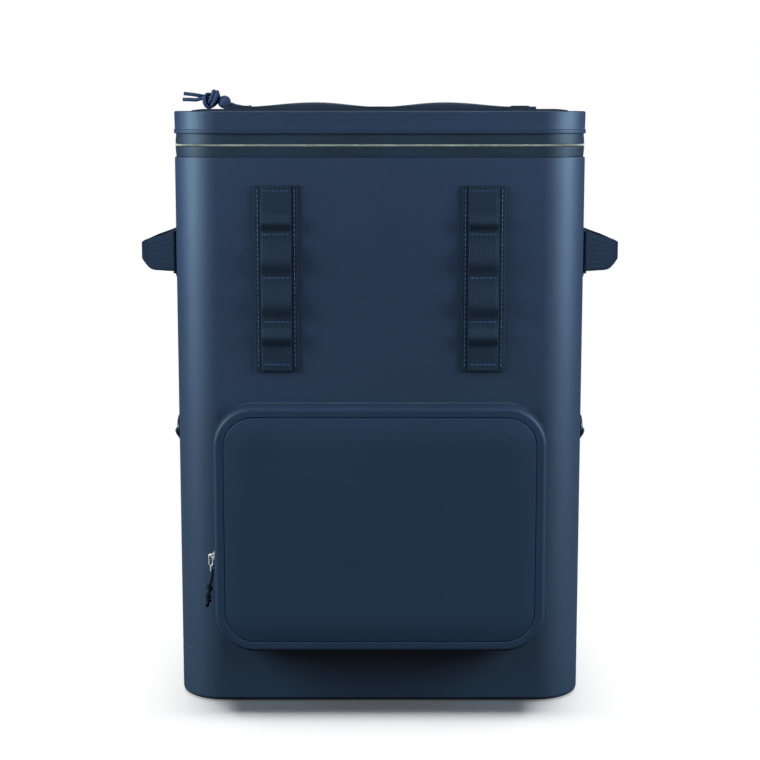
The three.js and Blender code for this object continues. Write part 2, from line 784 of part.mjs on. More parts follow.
// A fold of cloth sewn to the wall, round the lower bar of a ring that lies up against it.
function makeSideRings() {
  const bore = ringWire / 2 + gap;
  const bulge = bore + tabThickness;
  [['left', -1], ['right', 1]].forEach(([side, sign]) => {
    const middle = sign * (bodyWidth / 2 + gap + bulge);
    const fold = new THREE.Shape();
    fold.moveTo(-bulge, -tabLength);
    fold.lineTo(-bulge + tabThickness * 1.8, -tabLength);
    fold.lineTo(bulge, 0);
    fold.absarc(0, 0, bulge, 0, Math.PI, false);
    fold.lineTo(-bulge, -tabLength);
    const hole = new THREE.Path();
    hole.absarc(0, 0, bore, 0, Math.PI * 2, true);
    fold.holes.push(hole);
    const tab = extrudeAlong(
      fold, tabWidth, [sign, 0, 0], [0, 0, 1], [middle, -ringForward, ringHeight], { curveSegments: 8 },
    );
    addPiece(`ring_tab_${side}`, tab, 'coatedFabric');
    const halfX = (ringWidth - ringWire) / 2;
    const halfY = (ringLoop - ringWire) / 2;
    const round = Math.min(halfX, halfY) * 0.95;
    const outline = [
      ...cornerArc(halfX, halfY, round, 0, 4),
      ...cornerArc(halfX, halfY, round, 1, 4),
      ...cornerArc(halfX, halfY, ringWire / 2, 2, 2),
      ...cornerArc(halfX, halfY, ringWire / 2, 3, 2),
    ];
    const onWall = (x, y, out) => new THREE.Vector3(middle + out, -ringForward + x, ringHeight + halfY + y);
    addPiece(`side_ring_${side}`, wireLoop(outline, ringWire, wireSides, onWall), 'ringMetal');
  });
}

// A plate with three raised cushions, which leave a channel down the spine.
function makeBackPad() {
  const top = bodyHeight - padTopDrop;
  const height = top - padBottom;
  const slab = (low, high, radius, from, thickness, round) => {
    const halfX = (high.x - low.x) / 2;
    const halfY = (high.y - low.y) / 2;
    const place = (x, y, level) => onBack((low.x + high.x) / 2 + x, (low.y + high.y) / 2 + y, level);
    const rings = [{ inset: 0, level: from }, ...quarterRound(round, 2, from + thickness - round, 1)];
    return loft(rings.map(({ inset, level }) => (
      ringAt(roundedOutline(halfX - inset, halfY - inset, radius - inset, 4), level, place)
    )));
  };
  const lumbarTop = padBottom + height * lumbarShare;
  const left = -padWidth / 2 + cushionInset;
  const cushionFrom = gap + padPlate / 2;
  const cushion = (low, high) => (
    slab(low, high, padRadius - cushionInset, cushionFrom, cushionThickness + padPlate / 2, cushionRound)
  );
  const channel = spineWidth / 2;
  addPiece('back_pad', joinAll([
    slab({ x: -padWidth / 2, y: padBottom }, { x: padWidth / 2, y: top }, padRadius, gap, padPlate, 1),
    cushion({ x: left, y: padBottom + cushionInset }, { x: -left, y: lumbarTop - channel / 2 }),
    cushion({ x: left, y: lumbarTop + channel / 2 }, { x: -channel, y: top - cushionInset }),
    cushion({ x: channel, y: lumbarTop + channel / 2 }, { x: -left, y: top - cushionInset }),
  ]), 'meshFabric');
}

// From the yoke down to the adjuster. height is a share of the drop between them, behind a share of the
// standoff, across a share of the splay, and width and thick shares of the strap's own.
const shoulderRows = [
  { height: 1, behind: 0, across: 0, width: 0.8, thick: 0.6 },
  { height: 1.01, behind: 0, across: 0, width: 0.82, thick: 0.66 },
  { height: 1.022, behind: 0.02, across: 0, width: 0.84, thick: 0.72 },
  { height: 1.042, behind: 0.12, across: 0.01, width: 0.88, thick: 0.86 },
  { height: 1.052, behind: 0.32, across: 0.03, width: 0.94, thick: 1 },
  { height: 1.02, behind: 0.62, across: 0.06, width: 1, thick: 1 },
  { height: 0.9, behind: 0.86, across: 0.14, width: 1, thick: 1 },
  { height: 0.7, behind: 1, across: 0.32, width: 1, thick: 1 },
  { height: 0.45, behind: 0.97, across: 0.6, width: 0.94, thick: 1 },
  { height: 0.2, behind: 0.84, across: 0.86, width: 0.8, thick: 0.95 },
  { height: 0.06, behind: 0.72, across: 0.97, width: 0.62, thick: 0.8 },
  { height: 0.015, behind: 0.68, across: 1, width: 0.54, thick: 0.56 },
  { height: 0, behind: 0.68, across: 1, width: 0.52, thick: 0.5 },
];

function makeShoulderStraps() {
  const yokeTop = bodyHeight - yokeTopDrop;
  addPiece('strap_yoke', box(
    [-yokeWidth / 2, backPlane + gap, yokeTop - yokeHeight],
    [yokeWidth / 2, backPlane + gap + yokeThickness, yokeTop],
  ), 'coatedFabric');
  const start = yokeTop + gap;
  const lockTop = lockHeight + lockLength;
  const end = lockTop + gap;
  const seat = backPlane + gap + yokeThickness / 2;
  const lockX = strapSpacing / 2 + strapSplay;
  const lockY = seat + shoulderRows[shoulderRows.length - 1].behind * strapStandoff;
  const anchorTop = anchorBottom + anchorHeight;
  const barTop = lockTop - lockBar - lockSlot;
  const run = lockThickness / 2 + gap + webbingThickness / 2;
  const turn = [0, 0.25, 0.5, 0.75, 1].map((share) => {
    const angle = share * Math.PI;
    return { x: lockX, y: lockY - run * Math.cos(angle), z: barTop + run * Math.sin(angle) };
  });
  const anchorX = anchorSpacing / 2;
  const anchorY = backPlane + gap + anchorThickness / 2;
  const webbingLine = [
    { x: anchorX, y: anchorY, z: anchorTop + gap },
    { x: anchorX * 0.97 + lockX * 0.03, y: anchorY + 1, z: anchorTop + adjusterEase },
    { x: (anchorX + lockX) / 2, y: (anchorY + lockY) / 2 - adjusterSag, z: (anchorTop + lockHeight) / 2 },
    { x: lockX, y: lockY - run - 1, z: lockHeight - adjusterEase },
    { x: lockX, y: lockY - run, z: lockHeight + lockBar / 2 },
    ...turn,
    { x: lockX, y: lockY + run, z: lockHeight + lockBar / 2 },
    { x: lockX, y: lockY + run + 1, z: lockHeight - adjusterTail * 0.5 },
    { x: lockX, y: lockY + run, z: lockHeight - adjusterTail },
  ];
  const frame = shapeOf(roundedOutline(lockWidth / 2, lockLength / 2, 3, 3));
  const slotHalf = lockWidth / 2 - lockBar;
  const slotFrom = (high) => shapeOf([
    { x: -slotHalf, y: high - lockSlot },
    { x: slotHalf, y: high - lockSlot },
    { x: slotHalf, y: high },
    { x: -slotHalf, y: high },
  ]);
  frame.holes.push(slotFrom(lockLength / 2 - lockBar), slotFrom(lockLength / 2 - 2 * lockBar - lockSlot));
  [['left', -1], ['right', 1]].forEach(([side, sign]) => {
    const stations = smoothRows(shoulderRows, 3).map((row) => ({
      centre: new THREE.Vector3(
        sign * (strapSpacing / 2 + row.across * strapSplay),
        seat + row.behind * strapStandoff,
        end + row.height * (start - end),
      ),
      halfWidth: row.width * strapWidth / 2,
      halfThick: row.thick * strapThickness / 2,
    }));
    addPiece(`shoulder_strap_${side}`, sweepAcross(stations, ({ halfWidth, halfThick }) => (
      roundedOutline(halfWidth, halfThick, halfThick * 0.8, 2)
    )), 'meshFabric');
    addPiece(`ladder_lock_${side}`, extrudeAlong(
      frame, lockThickness, [1, 0, 0], [0, 0, 1], [sign * lockX, lockY, lockHeight + lockLength / 2],
    ), 'plastic');
    const line = webbingLine.map(({ x, y, z }) => ({ centre: new THREE.Vector3(sign * x, y, z) }));
    addPiece(`adjuster_webbing_${side}`, sweepAcross(line, () => (
      flatSection(adjusterWebbing, webbingThickness)
    )), 'webbing');
    addPiece(`strap_anchor_${side}`, box(
      [sign * anchorX - anchorWidth / 2, backPlane + gap, anchorBottom],
      [sign * anchorX + anchorWidth / 2, backPlane + gap + anchorThickness, anchorTop],
    ), 'coatedFabric');
  });
}

// The lid zip's slider with an eye for the cord, and the bead and knot that lie on the lid.
function makeMainPull() {
  const middle = mainSliderPlace;
  const plateFrom = backPlane - coilRecess + gap;
  const plateFace = plateFrom + mainSliderPlate;
  const plate = extrudeAlong(
    shapeOf(roundedOutline(mainSliderLength / 2, mainSliderHeight / 2, 3, 3)),
    mainSliderPlate, [-1, 0, 0], [0, 0, 1], [middle, plateFrom + mainSliderPlate / 2, coilMiddle],
  );
  const lug = new THREE.Shape();
  const root = -mainSliderPlate / 2;
  const round = lugReach / 2;
  lug.moveTo(root, -round);
  lug.lineTo(lugReach - round, -round);
  lug.absarc(lugReach - round, 0, round, -Math.PI / 2, Math.PI / 2, false);
  lug.lineTo(root, round);
  const eye = new THREE.Path();
  eye.absarc(lugReach - round, 0, lugHole, 0, Math.PI * 2, true);
  lug.holes.push(eye);
  const lugSolid = extrudeAlong(lug, lugThickness, [0, 1, 0], [0, 0, 1], [middle, plateFace, coilMiddle]);
  addPiece('main_slider', joinAll([plate, lugSolid]), 'plastic');
  ['a', 'b'].forEach((strand) => {
    addPiece(`main_pull_cord_${strand}`, cordTube(mainCordRoutes[strand], cordThickness), 'cord');
    addPiece(`main_pull_tail_${strand}`, cordTube(tailRoutes[strand], cordThickness), 'cord');
  });
  const bead = new THREE.SphereGeometry(0.5, 12, 8);
  bead.rotateX(Math.PI / 2);
  bead.scale(beadLength, beadThickness, beadThickness);
  bead.rotateY(beadTilt);
  bead.translate(...beadPlace);
  addPiece('main_pull_bead', bead, 'cord');
  addPiece('main_pull_knot', knot(knotPlace, knotSize, cordThickness, [0.72, 1, 0.9], knotTilt), 'cord');
}

makeBody();
makeLid();
makeZipBand();
makeLidStrap();
makeLadders();
makePocket();
makePocketPuller();
makeHandles();
makeSideRings();
makeBackPad();
makeShoulderStraps();
makeMainPull();

export default backpack;
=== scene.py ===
import math

import bmesh
import bpy
from mathutils import Matrix, Vector


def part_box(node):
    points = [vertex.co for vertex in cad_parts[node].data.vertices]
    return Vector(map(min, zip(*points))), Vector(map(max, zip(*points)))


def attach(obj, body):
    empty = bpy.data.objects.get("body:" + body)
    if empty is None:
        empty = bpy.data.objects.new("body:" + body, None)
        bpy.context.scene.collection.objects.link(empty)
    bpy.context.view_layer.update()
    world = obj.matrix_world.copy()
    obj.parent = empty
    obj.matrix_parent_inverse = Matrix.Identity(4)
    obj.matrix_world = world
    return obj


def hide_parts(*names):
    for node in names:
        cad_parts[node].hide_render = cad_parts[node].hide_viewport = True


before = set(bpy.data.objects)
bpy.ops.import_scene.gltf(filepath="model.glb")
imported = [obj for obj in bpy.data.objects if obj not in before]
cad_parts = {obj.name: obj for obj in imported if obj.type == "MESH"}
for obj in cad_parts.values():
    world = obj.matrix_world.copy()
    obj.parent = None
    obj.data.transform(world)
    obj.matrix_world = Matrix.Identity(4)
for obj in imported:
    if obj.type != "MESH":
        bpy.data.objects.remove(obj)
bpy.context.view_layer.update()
sides = (("Left", -1), ("Right", 1))
hairline = 0.0003  # the gap that neighbours keep between them
softEdge = 0.0006  # how far a band's long edges are eased
touch = 1e-5  # heights closer than this are the same
print("frame loaded:", len(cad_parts), "nodes")


def clearSelection():
    if bpy.context.object and bpy.context.object.mode != "OBJECT":
        bpy.ops.object.mode_set(mode="OBJECT")
    bpy.ops.object.select_all(action="DESELECT")


def makeActive(piece):
    clearSelection()
    piece.select_set(True)
    bpy.context.view_layer.objects.active = piece


def keepPlace(name):
    # the new primitive gets its name, and its place goes into its mesh
    piece = bpy.context.object
    piece.name = piece.data.name = name
    bpy.ops.object.transform_apply(location=True, rotation=True, scale=True)
    return piece


def boxPiece(name, low, high):
    clearSelection()
    middle = [(a + b) / 2 for a, b in zip(low, high)]
    size = [b - a for a, b in zip(low, high)]
    bpy.ops.mesh.primitive_cube_add(size=1, location=middle, scale=size)
    return keepPlace(name)


def pick(piece, kind, test=lambda part: True):
    # goes into edit mode with only the wanted corners, edges or faces selected
    makeActive(piece)
    bpy.ops.object.mode_set(mode="EDIT")
    bpy.ops.mesh.select_mode(type=kind)
    bpy.ops.mesh.select_all(action="DESELECT")
    mesh = bmesh.from_edit_mesh(piece.data)
    for part in {"VERT": mesh.verts, "EDGE": mesh.edges, "FACE": mesh.faces}[kind]:
        if test(part):
            part.select_set(True)
    bmesh.update_edit_mesh(piece.data)


def joinPieces(pieces):
    # all of them become one piece, which keeps the first one's name
    clearSelection()
    for piece in pieces:
        piece.select_set(True)
    bpy.context.view_layer.objects.active = pieces[0]
    bpy.ops.object.join()
    return pieces[0]


def leaveEdit():
    bpy.ops.object.mode_set(mode="OBJECT")


def cutAway(piece, test):
    pick(piece, "FACE", test)
    bpy.ops.mesh.delete(type="FACE")
    leaveEdit()


def edgesAlong(axis):
    return lambda edge: abs((edge.verts[0].co - edge.verts[1].co).normalized()[axis]) > 0.9


def edgesFrom(axis, level):
    # the edges that lie at the level on the axis, or beyond it
    return lambda edge: (edge.verts[0].co + edge.verts[1].co)[axis] / 2 > level - touch


def edgesUpTo(axis, level):
    return lambda edge: (edge.verts[0].co + edge.verts[1].co)[axis] / 2 < level + touch


def bevelEdges(piece, test, width, segments):
    pick(piece, "EDGE", test)
    bpy.ops.mesh.bevel(offset_type="OFFSET", offset=width, segments=segments, affect="EDGES")
    leaveEdit()


def roundedBox(name, low, high, axis, corner, edge):
    # a box with its corners rounded along the axis and its far face's edges eased, each as (radius, steps)
    piece = boxPiece(name, low, high)
    bevelEdges(piece, edgesAlong(axis), *corner)
    bevelEdges(piece, edgesFrom(axis, high[axis]), *edge)
    return piece


def weldGroove(width, depth):
    # sinks a line round the picked face and brings its middle back up
    for way in (-1, 1):
        bpy.ops.mesh.inset(thickness=width, depth=way * depth)


def cutLevels(piece, levels, normal=(0, 0, 1)):
    pick(piece, "FACE")
    for level in levels:
        bpy.ops.mesh.select_all(action="SELECT")
        bpy.ops.mesh.bisect(plane_co=Vector(normal) * level, plane_no=normal)
    leaveEdit()


def fatten(piece, test, value):
    pick(piece, "VERT", test)
    bpy.ops.transform.shrink_fatten(value=value)
    leaveEdit()


def applyModifiers(piece):
    makeActive(piece)
    for modifier in list(piece.modifiers):
        bpy.ops.object.modifier_apply(modifier=modifier.name)


def thicken(piece, thickness):
    modifier = piece.modifiers.new("wall", "SOLIDIFY")
    modifier.thickness = thickness
    modifier.offset = -1
    applyModifiers(piece)


def outline(form, inset=0):
    # the sizes of a form's rounded outline, moved inward
    return form["halfX"] - inset, form["halfY"] - inset, form["corner"] - inset


def girthRound(halfX, halfY, radius):
    return 4 * (halfX + halfY - 2 * radius) + 2 * math.pi * radius


def distanceRound(x, y, halfX, halfY, radius):
    # how far round a rounded rectangle a point lies, from the middle of its low side
    side, straight = (1 if x >= 0 else -1), halfX - radius
    x = abs(x)
    arc = radius * math.pi / 2
    if x <= straight:
        return side * (x if y < 0 else 2 * straight + 2 * arc + 2 * (halfY - radius) - x)
    if y < radius - halfY:
        return side * (straight + radius * (math.atan2(y - radius + halfY, x - straight) + math.pi / 2))
    if y > halfY - radius:
        angle = math.atan2(y - halfY + radius, x - straight)
        return side * (straight + arc + 2 * (halfY - radius) + radius * angle)
    return side * (straight + arc + y + halfY - radius)


def wrapUv(piece, halfX, halfY, radius):
    # in metres: walls unroll round the outline, lids and floors lie flat
    length = girthRound(halfX, halfY, radius)
    mesh = piece.data
    layer = mesh.uv_layers.active or mesh.uv_layers.new(name="UVMap")
    for face in mesh.polygons:
        flat = abs(face.normal.z) > 0.8
        places = []
        for corner in face.loop_indices:
            x, y, z = mesh.vertices[mesh.loops[corner].vertex_index].co
            places.append((x, y) if flat else (distanceRound(x, y, halfX, halfY, radius), z))
        if not flat and max(p[0] for p in places) - min(p[0] for p in places) > length / 2:
            places = [(u + length if u < 0 else u, v) for u, v in places]
        for corner, place in zip(face.loop_indices, places):
            layer.data[corner].uv = place


def boxUv(piece):
    # in metres, each face laid flat along its main direction
    mesh = piece.data
    layer = mesh.uv_layers.active or mesh.uv_layers.new(name="UVMap")
    for face in mesh.polygons:
        away = max(range(3), key=lambda axis: abs(face.normal[axis]))
        for corner in face.loop_indices:
            place = mesh.vertices[mesh.loops[corner].vertex_index].co
            layer.data[corner].uv = [place[axis] for axis in range(3) if axis != away]


def eased(a, b, c, d, t):
    # a Catmull-Rom curve from b to c
    return (2 * b + (c - a) * t + (2 * a - 5 * b + 4 * c - d) * t * t + (3 * b - a - 3 * c + d) * t ** 3) / 2


def smoothRoute(points, steps=4):
    points = [Vector(p) for p in points]
    ends = [2 * points[0] - points[1], *points, 2 * points[-1] - points[-2]]
    route = []
    for i in range(len(points) - 1):
        route += [eased(*ends[i:i + 4], j / steps) for j in range(steps)]
    return [*route, points[-1]]


def headings(points, closed=False):
    # the way each point's line runs there
    last = len(points) - 1
    if closed:
        return [(points[(i + 1) % len(points)] - points[i - 1]).normalized() for i in range(len(points))]
    return [(points[min(i + 1, last)] - points[max(i - 1, 0)]).normalized() for i in range(len(points))]


def carriedNormals(points, first, closed=False):
    # a side direction for each point, carried along without twist
    normal, normals = Vector(first), []
    for ahead in headings(points, closed):
        normal = (normal - ahead * normal.dot(ahead)).normalized()
        normals.append((normal.copy(), ahead.cross(normal)))
    return normals


def loftPiece(name, rings, closedLoop=False):
    # rings of points, each joined to the next, on a grid whose last column meets the first
    around, along = len(rings[0]), len(rings)
    rows = [*rings, rings[0]] if closedLoop else rings
    clearSelection()
    bpy.ops.mesh.primitive_grid_add(x_subdivisions=around, y_subdivisions=len(rows) - 1, size=1)
    piece = keepPlace(name)
    mesh = piece.data
    girth = sum((Vector(rings[along // 2][i]) - Vector(rings[along // 2][i - 1])).length for i in range(around))
    travelled = [0]
    middles = [sum((Vector(p) for p in ring), Vector()) / around for ring in rows]
    for a, b in zip(middles, middles[1:]):
        travelled.append(travelled[-1] + (b - a).length)
    for row, ring in enumerate(rows):
        for column in range(around + 1):
            mesh.vertices[row * (around + 1) + column].co = ring[column % around]
    for loop, place in zip(mesh.loops, mesh.uv_layers.active.data):
        row, column = divmod(loop.vertex_index, around + 1)
        place.uv = (column / around * girth, travelled[row])
    pick(piece, "VERT")
    bpy.ops.mesh.remove_doubles(threshold=1e-7)
    if not closedLoop:
        bpy.ops.mesh.select_all(action="SELECT")
        bpy.ops.mesh.fill_holes(sides=0)
    bpy.ops.mesh.select_all(action="SELECT")
    bpy.ops.mesh.normals_make_consistent(inside=False)
    leaveEdit()
    return piece


def makeTube(name, points, width, sides=12, first=(0, 0, 1), closed=False):
    widths = width if isinstance(width, (list, tuple)) else [width] * len(points)
    rings = []
    for point, (across, up), size in zip(points, carriedNormals(points, first, closed), widths):
        turn = [2 * math.pi * i / sides for i in range(sides)]
        rings.append([point + (across * math.cos(a) + up * math.sin(a)) * size / 2 for a in turn])
    return loftPiece(name, rings, closedLoop=closed)


def flatSection(width, thickness, edge=softEdge, columns=6):
    # a band's section: flat faces and eased edges, as (across, up) offsets
    half, up = width / 2, thickness / 2
    edge = min(edge, up * 0.95)
    face = [(-half + edge + (width - 2 * edge) * i / columns, up) for i in range(columns + 1)]
    side = [(half - edge * (1 - math.sin(a)), up - edge * (1 - math.cos(a))) for a in (0.6, 1.2)]
    lower = [(a, -b) for a, b in reversed(face + side)]
    turned = [(-a, b) for a, b in reversed(side)]
    return [*turned, *face, *side, *lower, *[(a, -b) for a, b in reversed(turned)]]


def bandPiece(name, line, width, thickness, across, columns=6, edge=softEdge, cup=0):
    # a band that runs along the line, its width lying along `across`; cup lowers its two edges
    points, across = [Vector(p) for p in line], Vector(across).normalized()
    sizes = width if isinstance(width, list) else [width] * len(points)
    depths = thickness if isinstance(thickness, list) else [thickness] * len(points)
    rings = []
    for i, (point, ahead) in enumerate(zip(points, headings(points))):
        up = ahead.cross(across).normalized()
        side = up.cross(ahead).normalized()
        bow = cup[i] if isinstance(cup, list) else cup
        rings.append([point + side * a + up * (b - bow * (2 * a / sizes[i]) ** 2)
                      for a, b in flatSection(sizes[i], depths[i], edge, columns)])
    return loftPiece(name, rings)


def roundedPath(halfX, halfY, radius, step, keep=lambda point: True):
    # points a step apart round a rounded rectangle, each with the way it faces
    length = girthRound(halfX, halfY, radius)
    count = round(length / step)
    straightX, straightY, arc = halfX - radius, halfY - radius, radius * math.pi / 2
    found = []
    for i in range(count):
        s = length * (i + 0.5) / count
        for turn in range(4):
            run, reach = (2 * straightY, halfX) if turn % 2 else (2 * straightX, halfY)
            if s <= run:
                local, out = Vector((s - run / 2, -reach, 0)), Vector((0, -1, 0))
            elif s <= run + arc:
                angle = (s - run) / radius
                out = Vector((math.sin(angle), -math.cos(angle), 0))
                local = Vector((run / 2, radius - reach, 0)) + out * radius
            else:
                s -= run + arc
                continue
            rotation = Matrix.Rotation(turn * math.pi / 2, 4, "Z")
            place, out = rotation @ local, rotation @ out
            if keep(place):
                found.append((place, out))
            break
    return found


def placedAt(point, along, up):
    # a matrix that puts X along `along` and Z along `up`
    along, up = Vector(along).normalized(), Vector(up).normalized()
    side = up.cross(along).normalized()
    matrix = Matrix((along, side, along.cross(side))).transposed().to_4x4()
    matrix.translation = point
    return matrix


def repeatAt(name, pattern, matrices):
    # copies of one small shape, each with its own mesh, joined into one piece
    copies = []
    for matrix in matrices:
        copy = pattern.copy()
        copy.data = pattern.data.copy()
        copy.data.transform(matrix)
        bpy.context.scene.collection.objects.link(copy)
        copies.append(copy)
    joinPieces(copies)
    bpy.data.objects.remove(pattern)
    return keepPlace(name)


def stitchShape(length, width, height):
    clearSelection()
    bpy.ops.mesh.primitive_uv_sphere_add(segments=6, ring_count=4, radius=0.5)
    shape = keepPlace("stitch")
    shape.data.transform(Matrix.Rotation(math.pi / 2, 4, "Y"))
    shape.data.transform(Matrix.Diagonal((length, width, height, 1)))
    return shape


def stitchLine(start, end, up, pitch):
    start, end = Vector(start), Vector(end)
    count = max(1, round((end - start).length / pitch))
    along = end - start
    return [placedAt(start + along * (i + 0.5) / count, along, up) for i in range(count)]


def dressPiece(piece, material, slot, *replaced, angle=35, flatFaces=False):
    makeActive(piece)
    bpy.ops.object.shade_smooth_by_angle(angle=math.radians(angle))
    if flatFaces:  # large flat faces keep their own shading beside the round edges
        modifier = piece.modifiers.new("faceNormals", "WEIGHTED_NORMAL")
        modifier.keep_sharp = True
        applyModifiers(piece)
    piece.data.materials.clear()
    piece.data.materials.append(material)
    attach(piece, "root")
    if replaced:
        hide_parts(*replaced)
    return piece


view = {"place": (0.0001, -1.6355, 0.5235), "pitchDown": 8.6, "lens": 83.0}
bpy.ops.object.camera_add(
    location=view["place"], rotation=(math.radians(90 - view["pitchDown"]), 0, 0))
camera = bpy.context.object
camera.name = "photoCamera"
camera.data.lens = view["lens"]
camera.data.sensor_width = 36
bpy.context.scene.camera = camera
bpy.context.scene.view_settings.view_transform = "Standard"


def hexColor(code):
    channels = [int(code[i:i + 2], 16) / 255 for i in (1, 3, 5)]
    return (*[c / 12.92 if c <= 0.04045 else ((c + 0.055) / 1.055) ** 2.4 for c in channels], 1)


def addNode(owner, kind, values=None, links=None, **settings):
    node = owner.node_tree.nodes.new("ShaderNode" + kind)
    for name, value in settings.items():
        setattr(node, name, value)
    for socket, value in (values or {}).items():
        node.inputs[socket].default_value = value
    for socket, source in (links or {}).items():
        owner.node_tree.links.new(source, node.inputs[socket])
    return node


def softbox(name, place, target, size, power):
    bpy.ops.object.light_add(type="AREA", location=place)
    light = bpy.context.object
    light.name = "softbox" + name
    light.data.shape = "RECTANGLE"
    light.data.size, light.data.size_y = size
    light.data.energy = power
    light.rotation_euler = (Vector(target) - Vector(place)).to_track_quat("-Z", "Y").to_euler()
    return light


studio = {  # each softbox: name, place, target, size, power
    "pairs": [("Side", (1.15, -0.42, 0.74), (0, -0.05, 0.34), (0.3, 0.7), 38.0),
              ("Corner", (1.0, -0.9, 0.75), (0, 0, 0.34), (0.2, 0.7), 6)],
    "single": [("Key", (0, -1.6, 0.95), (0, 0, 0.42), (0.9, 0.4), 0.6),
               ("Rear", (0.3, 2.0, 1.0), (0, 0, 0.3), (1.2, 0.6), 9),
               ("Lid", (0, 0.2, 1.9), (0, 0, 0.5), (1.6, 0.5), 12)],
    "paper": ("Paper", (0, 0.11, 2.1), (0, 0.19, 0), (1.3, 0.56), 70),
    "tone": (0.5, 0.76, 1.0), "ambient": 0.142, "floorSeen": 0.97, "floorBounce": 0.12,
    "floorDrop": 0.0004, "paperHalf": (0.128, 0.1325, 0), "paperFade": (-0.012, 0.102),
}
clearSelection()
shapingLights = [softbox(name + side, (sign * x, y, z), *rest) for side, sign in sides
                 for name, (x, y, z), *rest in studio["pairs"]]
shapingLights += [softbox(*box) for box in studio["single"]]
paperLight = softbox(*studio["paper"])

# the room gives a pale blue fill, and the camera sees white paper behind the bag
world = bpy.data.worlds.new("studio")
bpy.context.scene.world = world
world.use_nodes = True
world.node_tree.nodes.clear()
fill = addNode(world, "Background", {"Color": hexColor("#DDE9FA"), "Strength": studio["ambient"]})
paper = addNode(world, "Background", {"Color": (1, 1, 1, 1), "Strength": 1.0})
ray = addNode(world, "LightPath")
either = addNode(world, "MixShader", None, {
    0: ray.outputs["Is Camera Ray"], 1: fill.outputs[0], 2: paper.outputs[0]})
addNode(world, "OutputWorld", None, {"Surface": either.outputs[0]})

clearSelection()
bpy.ops.mesh.primitive_plane_add(size=16, location=(0, 0, -studio["floorDrop"]))
floor = keepPlace("floor")
floorPaper = bpy.data.materials.new("mattPaperRoll")  # matt white paper, which shows only a soft contact shadow
floorPaper.use_nodes = True
floorPaper.node_tree.nodes.clear()
seen = addNode(floorPaper, "BsdfDiffuse", {"Color": (studio["floorSeen"],) * 3 + (1,)})
lit = addNode(floorPaper, "Emission", {"Color": (1, 1, 1, 1), "Strength": 1.0})
# the paper's own shading ends a hand's width from the bag, as on a lit table
where = addNode(floorPaper, "TexCoord")
folded = addNode(floorPaper, "VectorMath", None, {0: where.outputs["Object"]}, operation="ABSOLUTE")
beyond = addNode(floorPaper, "VectorMath", {1: studio["paperHalf"]}, {0: folded.outputs["Vector"]},
                 operation="SUBTRACT")
outside = addNode(floorPaper, "VectorMath", {1: (0, 0, 0)}, {0: beyond.outputs["Vector"]},
                  operation="MAXIMUM")
reach = addNode(floorPaper, "VectorMath", None, {0: outside.outputs["Vector"]}, operation="LENGTH")
farther = addNode(floorPaper, "MapRange", dict(zip(("From Min", "From Max"), studio["paperFade"])),
                  {"Value": reach.outputs["Value"]}, interpolation_type="SMOOTHSTEP")
paperMix = addNode(floorPaper, "MixShader", None, {
    0: farther.outputs[0], 1: seen.outputs[0], 2: lit.outputs[0]})
bounced = addNode(floorPaper, "BsdfDiffuse", {"Color": (studio["floorBounce"],) * 3 + (1,)})
floorRay = addNode(floorPaper, "LightPath")
floorMix = addNode(floorPaper, "MixShader", None, {
    0: floorRay.outputs["Is Camera Ray"], 1: bounced.outputs[0], 2: paperMix.outputs[0]})
addNode(floorPaper, "OutputMaterial", None, {"Surface": floorMix.outputs[0]})
floor.data.materials.append(floorPaper)
# the lights that shape the bag are flagged off the paper, and one overhead box draws its contact shadow
flaggedOff, paperOnly = bpy.data.collections.new("flaggedOff"), bpy.data.collections.new("paperOnly")
for group, state in ((flaggedOff, "EXCLUDE"), (paperOnly, "INCLUDE")):
    group.objects.link(floor)
    group.collection_objects[0].light_linking.link_state = state
for light in shapingLights:
    light.light_linking.receiver_collection = flaggedOff
    if "Lid" not in light.name:
        light.data.color = studio["tone"]
paperLight.light_linking.receiver_collection = paperOnly
print("camera, light and floor done")


def shaderInput(material, socket):
    return material.node_tree.nodes["Principled BSDF"].inputs[socket]


def startMaterial(name, **shaderValues):
    material = bpy.data.materials.new(name)
    material.use_nodes = True
    for socket, value in shaderValues.items():
        shaderInput(material, socket).default_value = value
    return material


def weaveHeight(material, thread, slant=0.0):
    # plain weave in the piece's own UVs, which are in metres: each thread goes over one and under one
    place = addNode(material, "TexCoord")
    cells = addNode(material, "Mapping",
                    {"Scale": (1 / thread[0], 1 / thread[1], 1), "Rotation": (0, 0, slant)},
                    {"Vector": place.outputs["UV"]}, vector_type="POINT")
    over = addNode(material, "TexChecker", {"Scale": 1.0}, {"Vector": cells.outputs[0]})
    warp = addNode(material, "TexWave", {"Scale": math.pi / 10}, {"Vector": cells.outputs[0]},
                   bands_direction="X")
    weft = addNode(material, "TexWave", {"Scale": math.pi / 10}, {"Vector": cells.outputs[0]},
                   bands_direction="Y")
    height = addNode(material, "Mix", None, {
        0: over.outputs["Fac"], 2: warp.outputs["Fac"], 3: weft.outputs["Fac"]}, data_type="FLOAT")
    return height.outputs[0]


def grainHeight(material, size, detail=3.0):
    # irregular grain in object space, one lump about `size` across
    place = addNode(material, "TexCoord")
    grain = addNode(material, "TexNoise", {"Scale": 0.6 / size, "Detail": detail},
                    {"Vector": place.outputs["Object"]})
    return grain.outputs["Fac"]


def tint(material, dark, light, factor, low=0.35, high=0.65):
    # colour runs from dark to light with the factor
    ramp = addNode(material, "ValToRGB", None, {"Fac": factor})
    ramp.color_ramp.elements[0].position, ramp.color_ramp.elements[1].position = low, high
    ramp.color_ramp.elements[0].color, ramp.color_ramp.elements[1].color = hexColor(dark), hexColor(light)
    material.node_tree.links.new(ramp.outputs["Color"], shaderInput(material, "Base Color"))


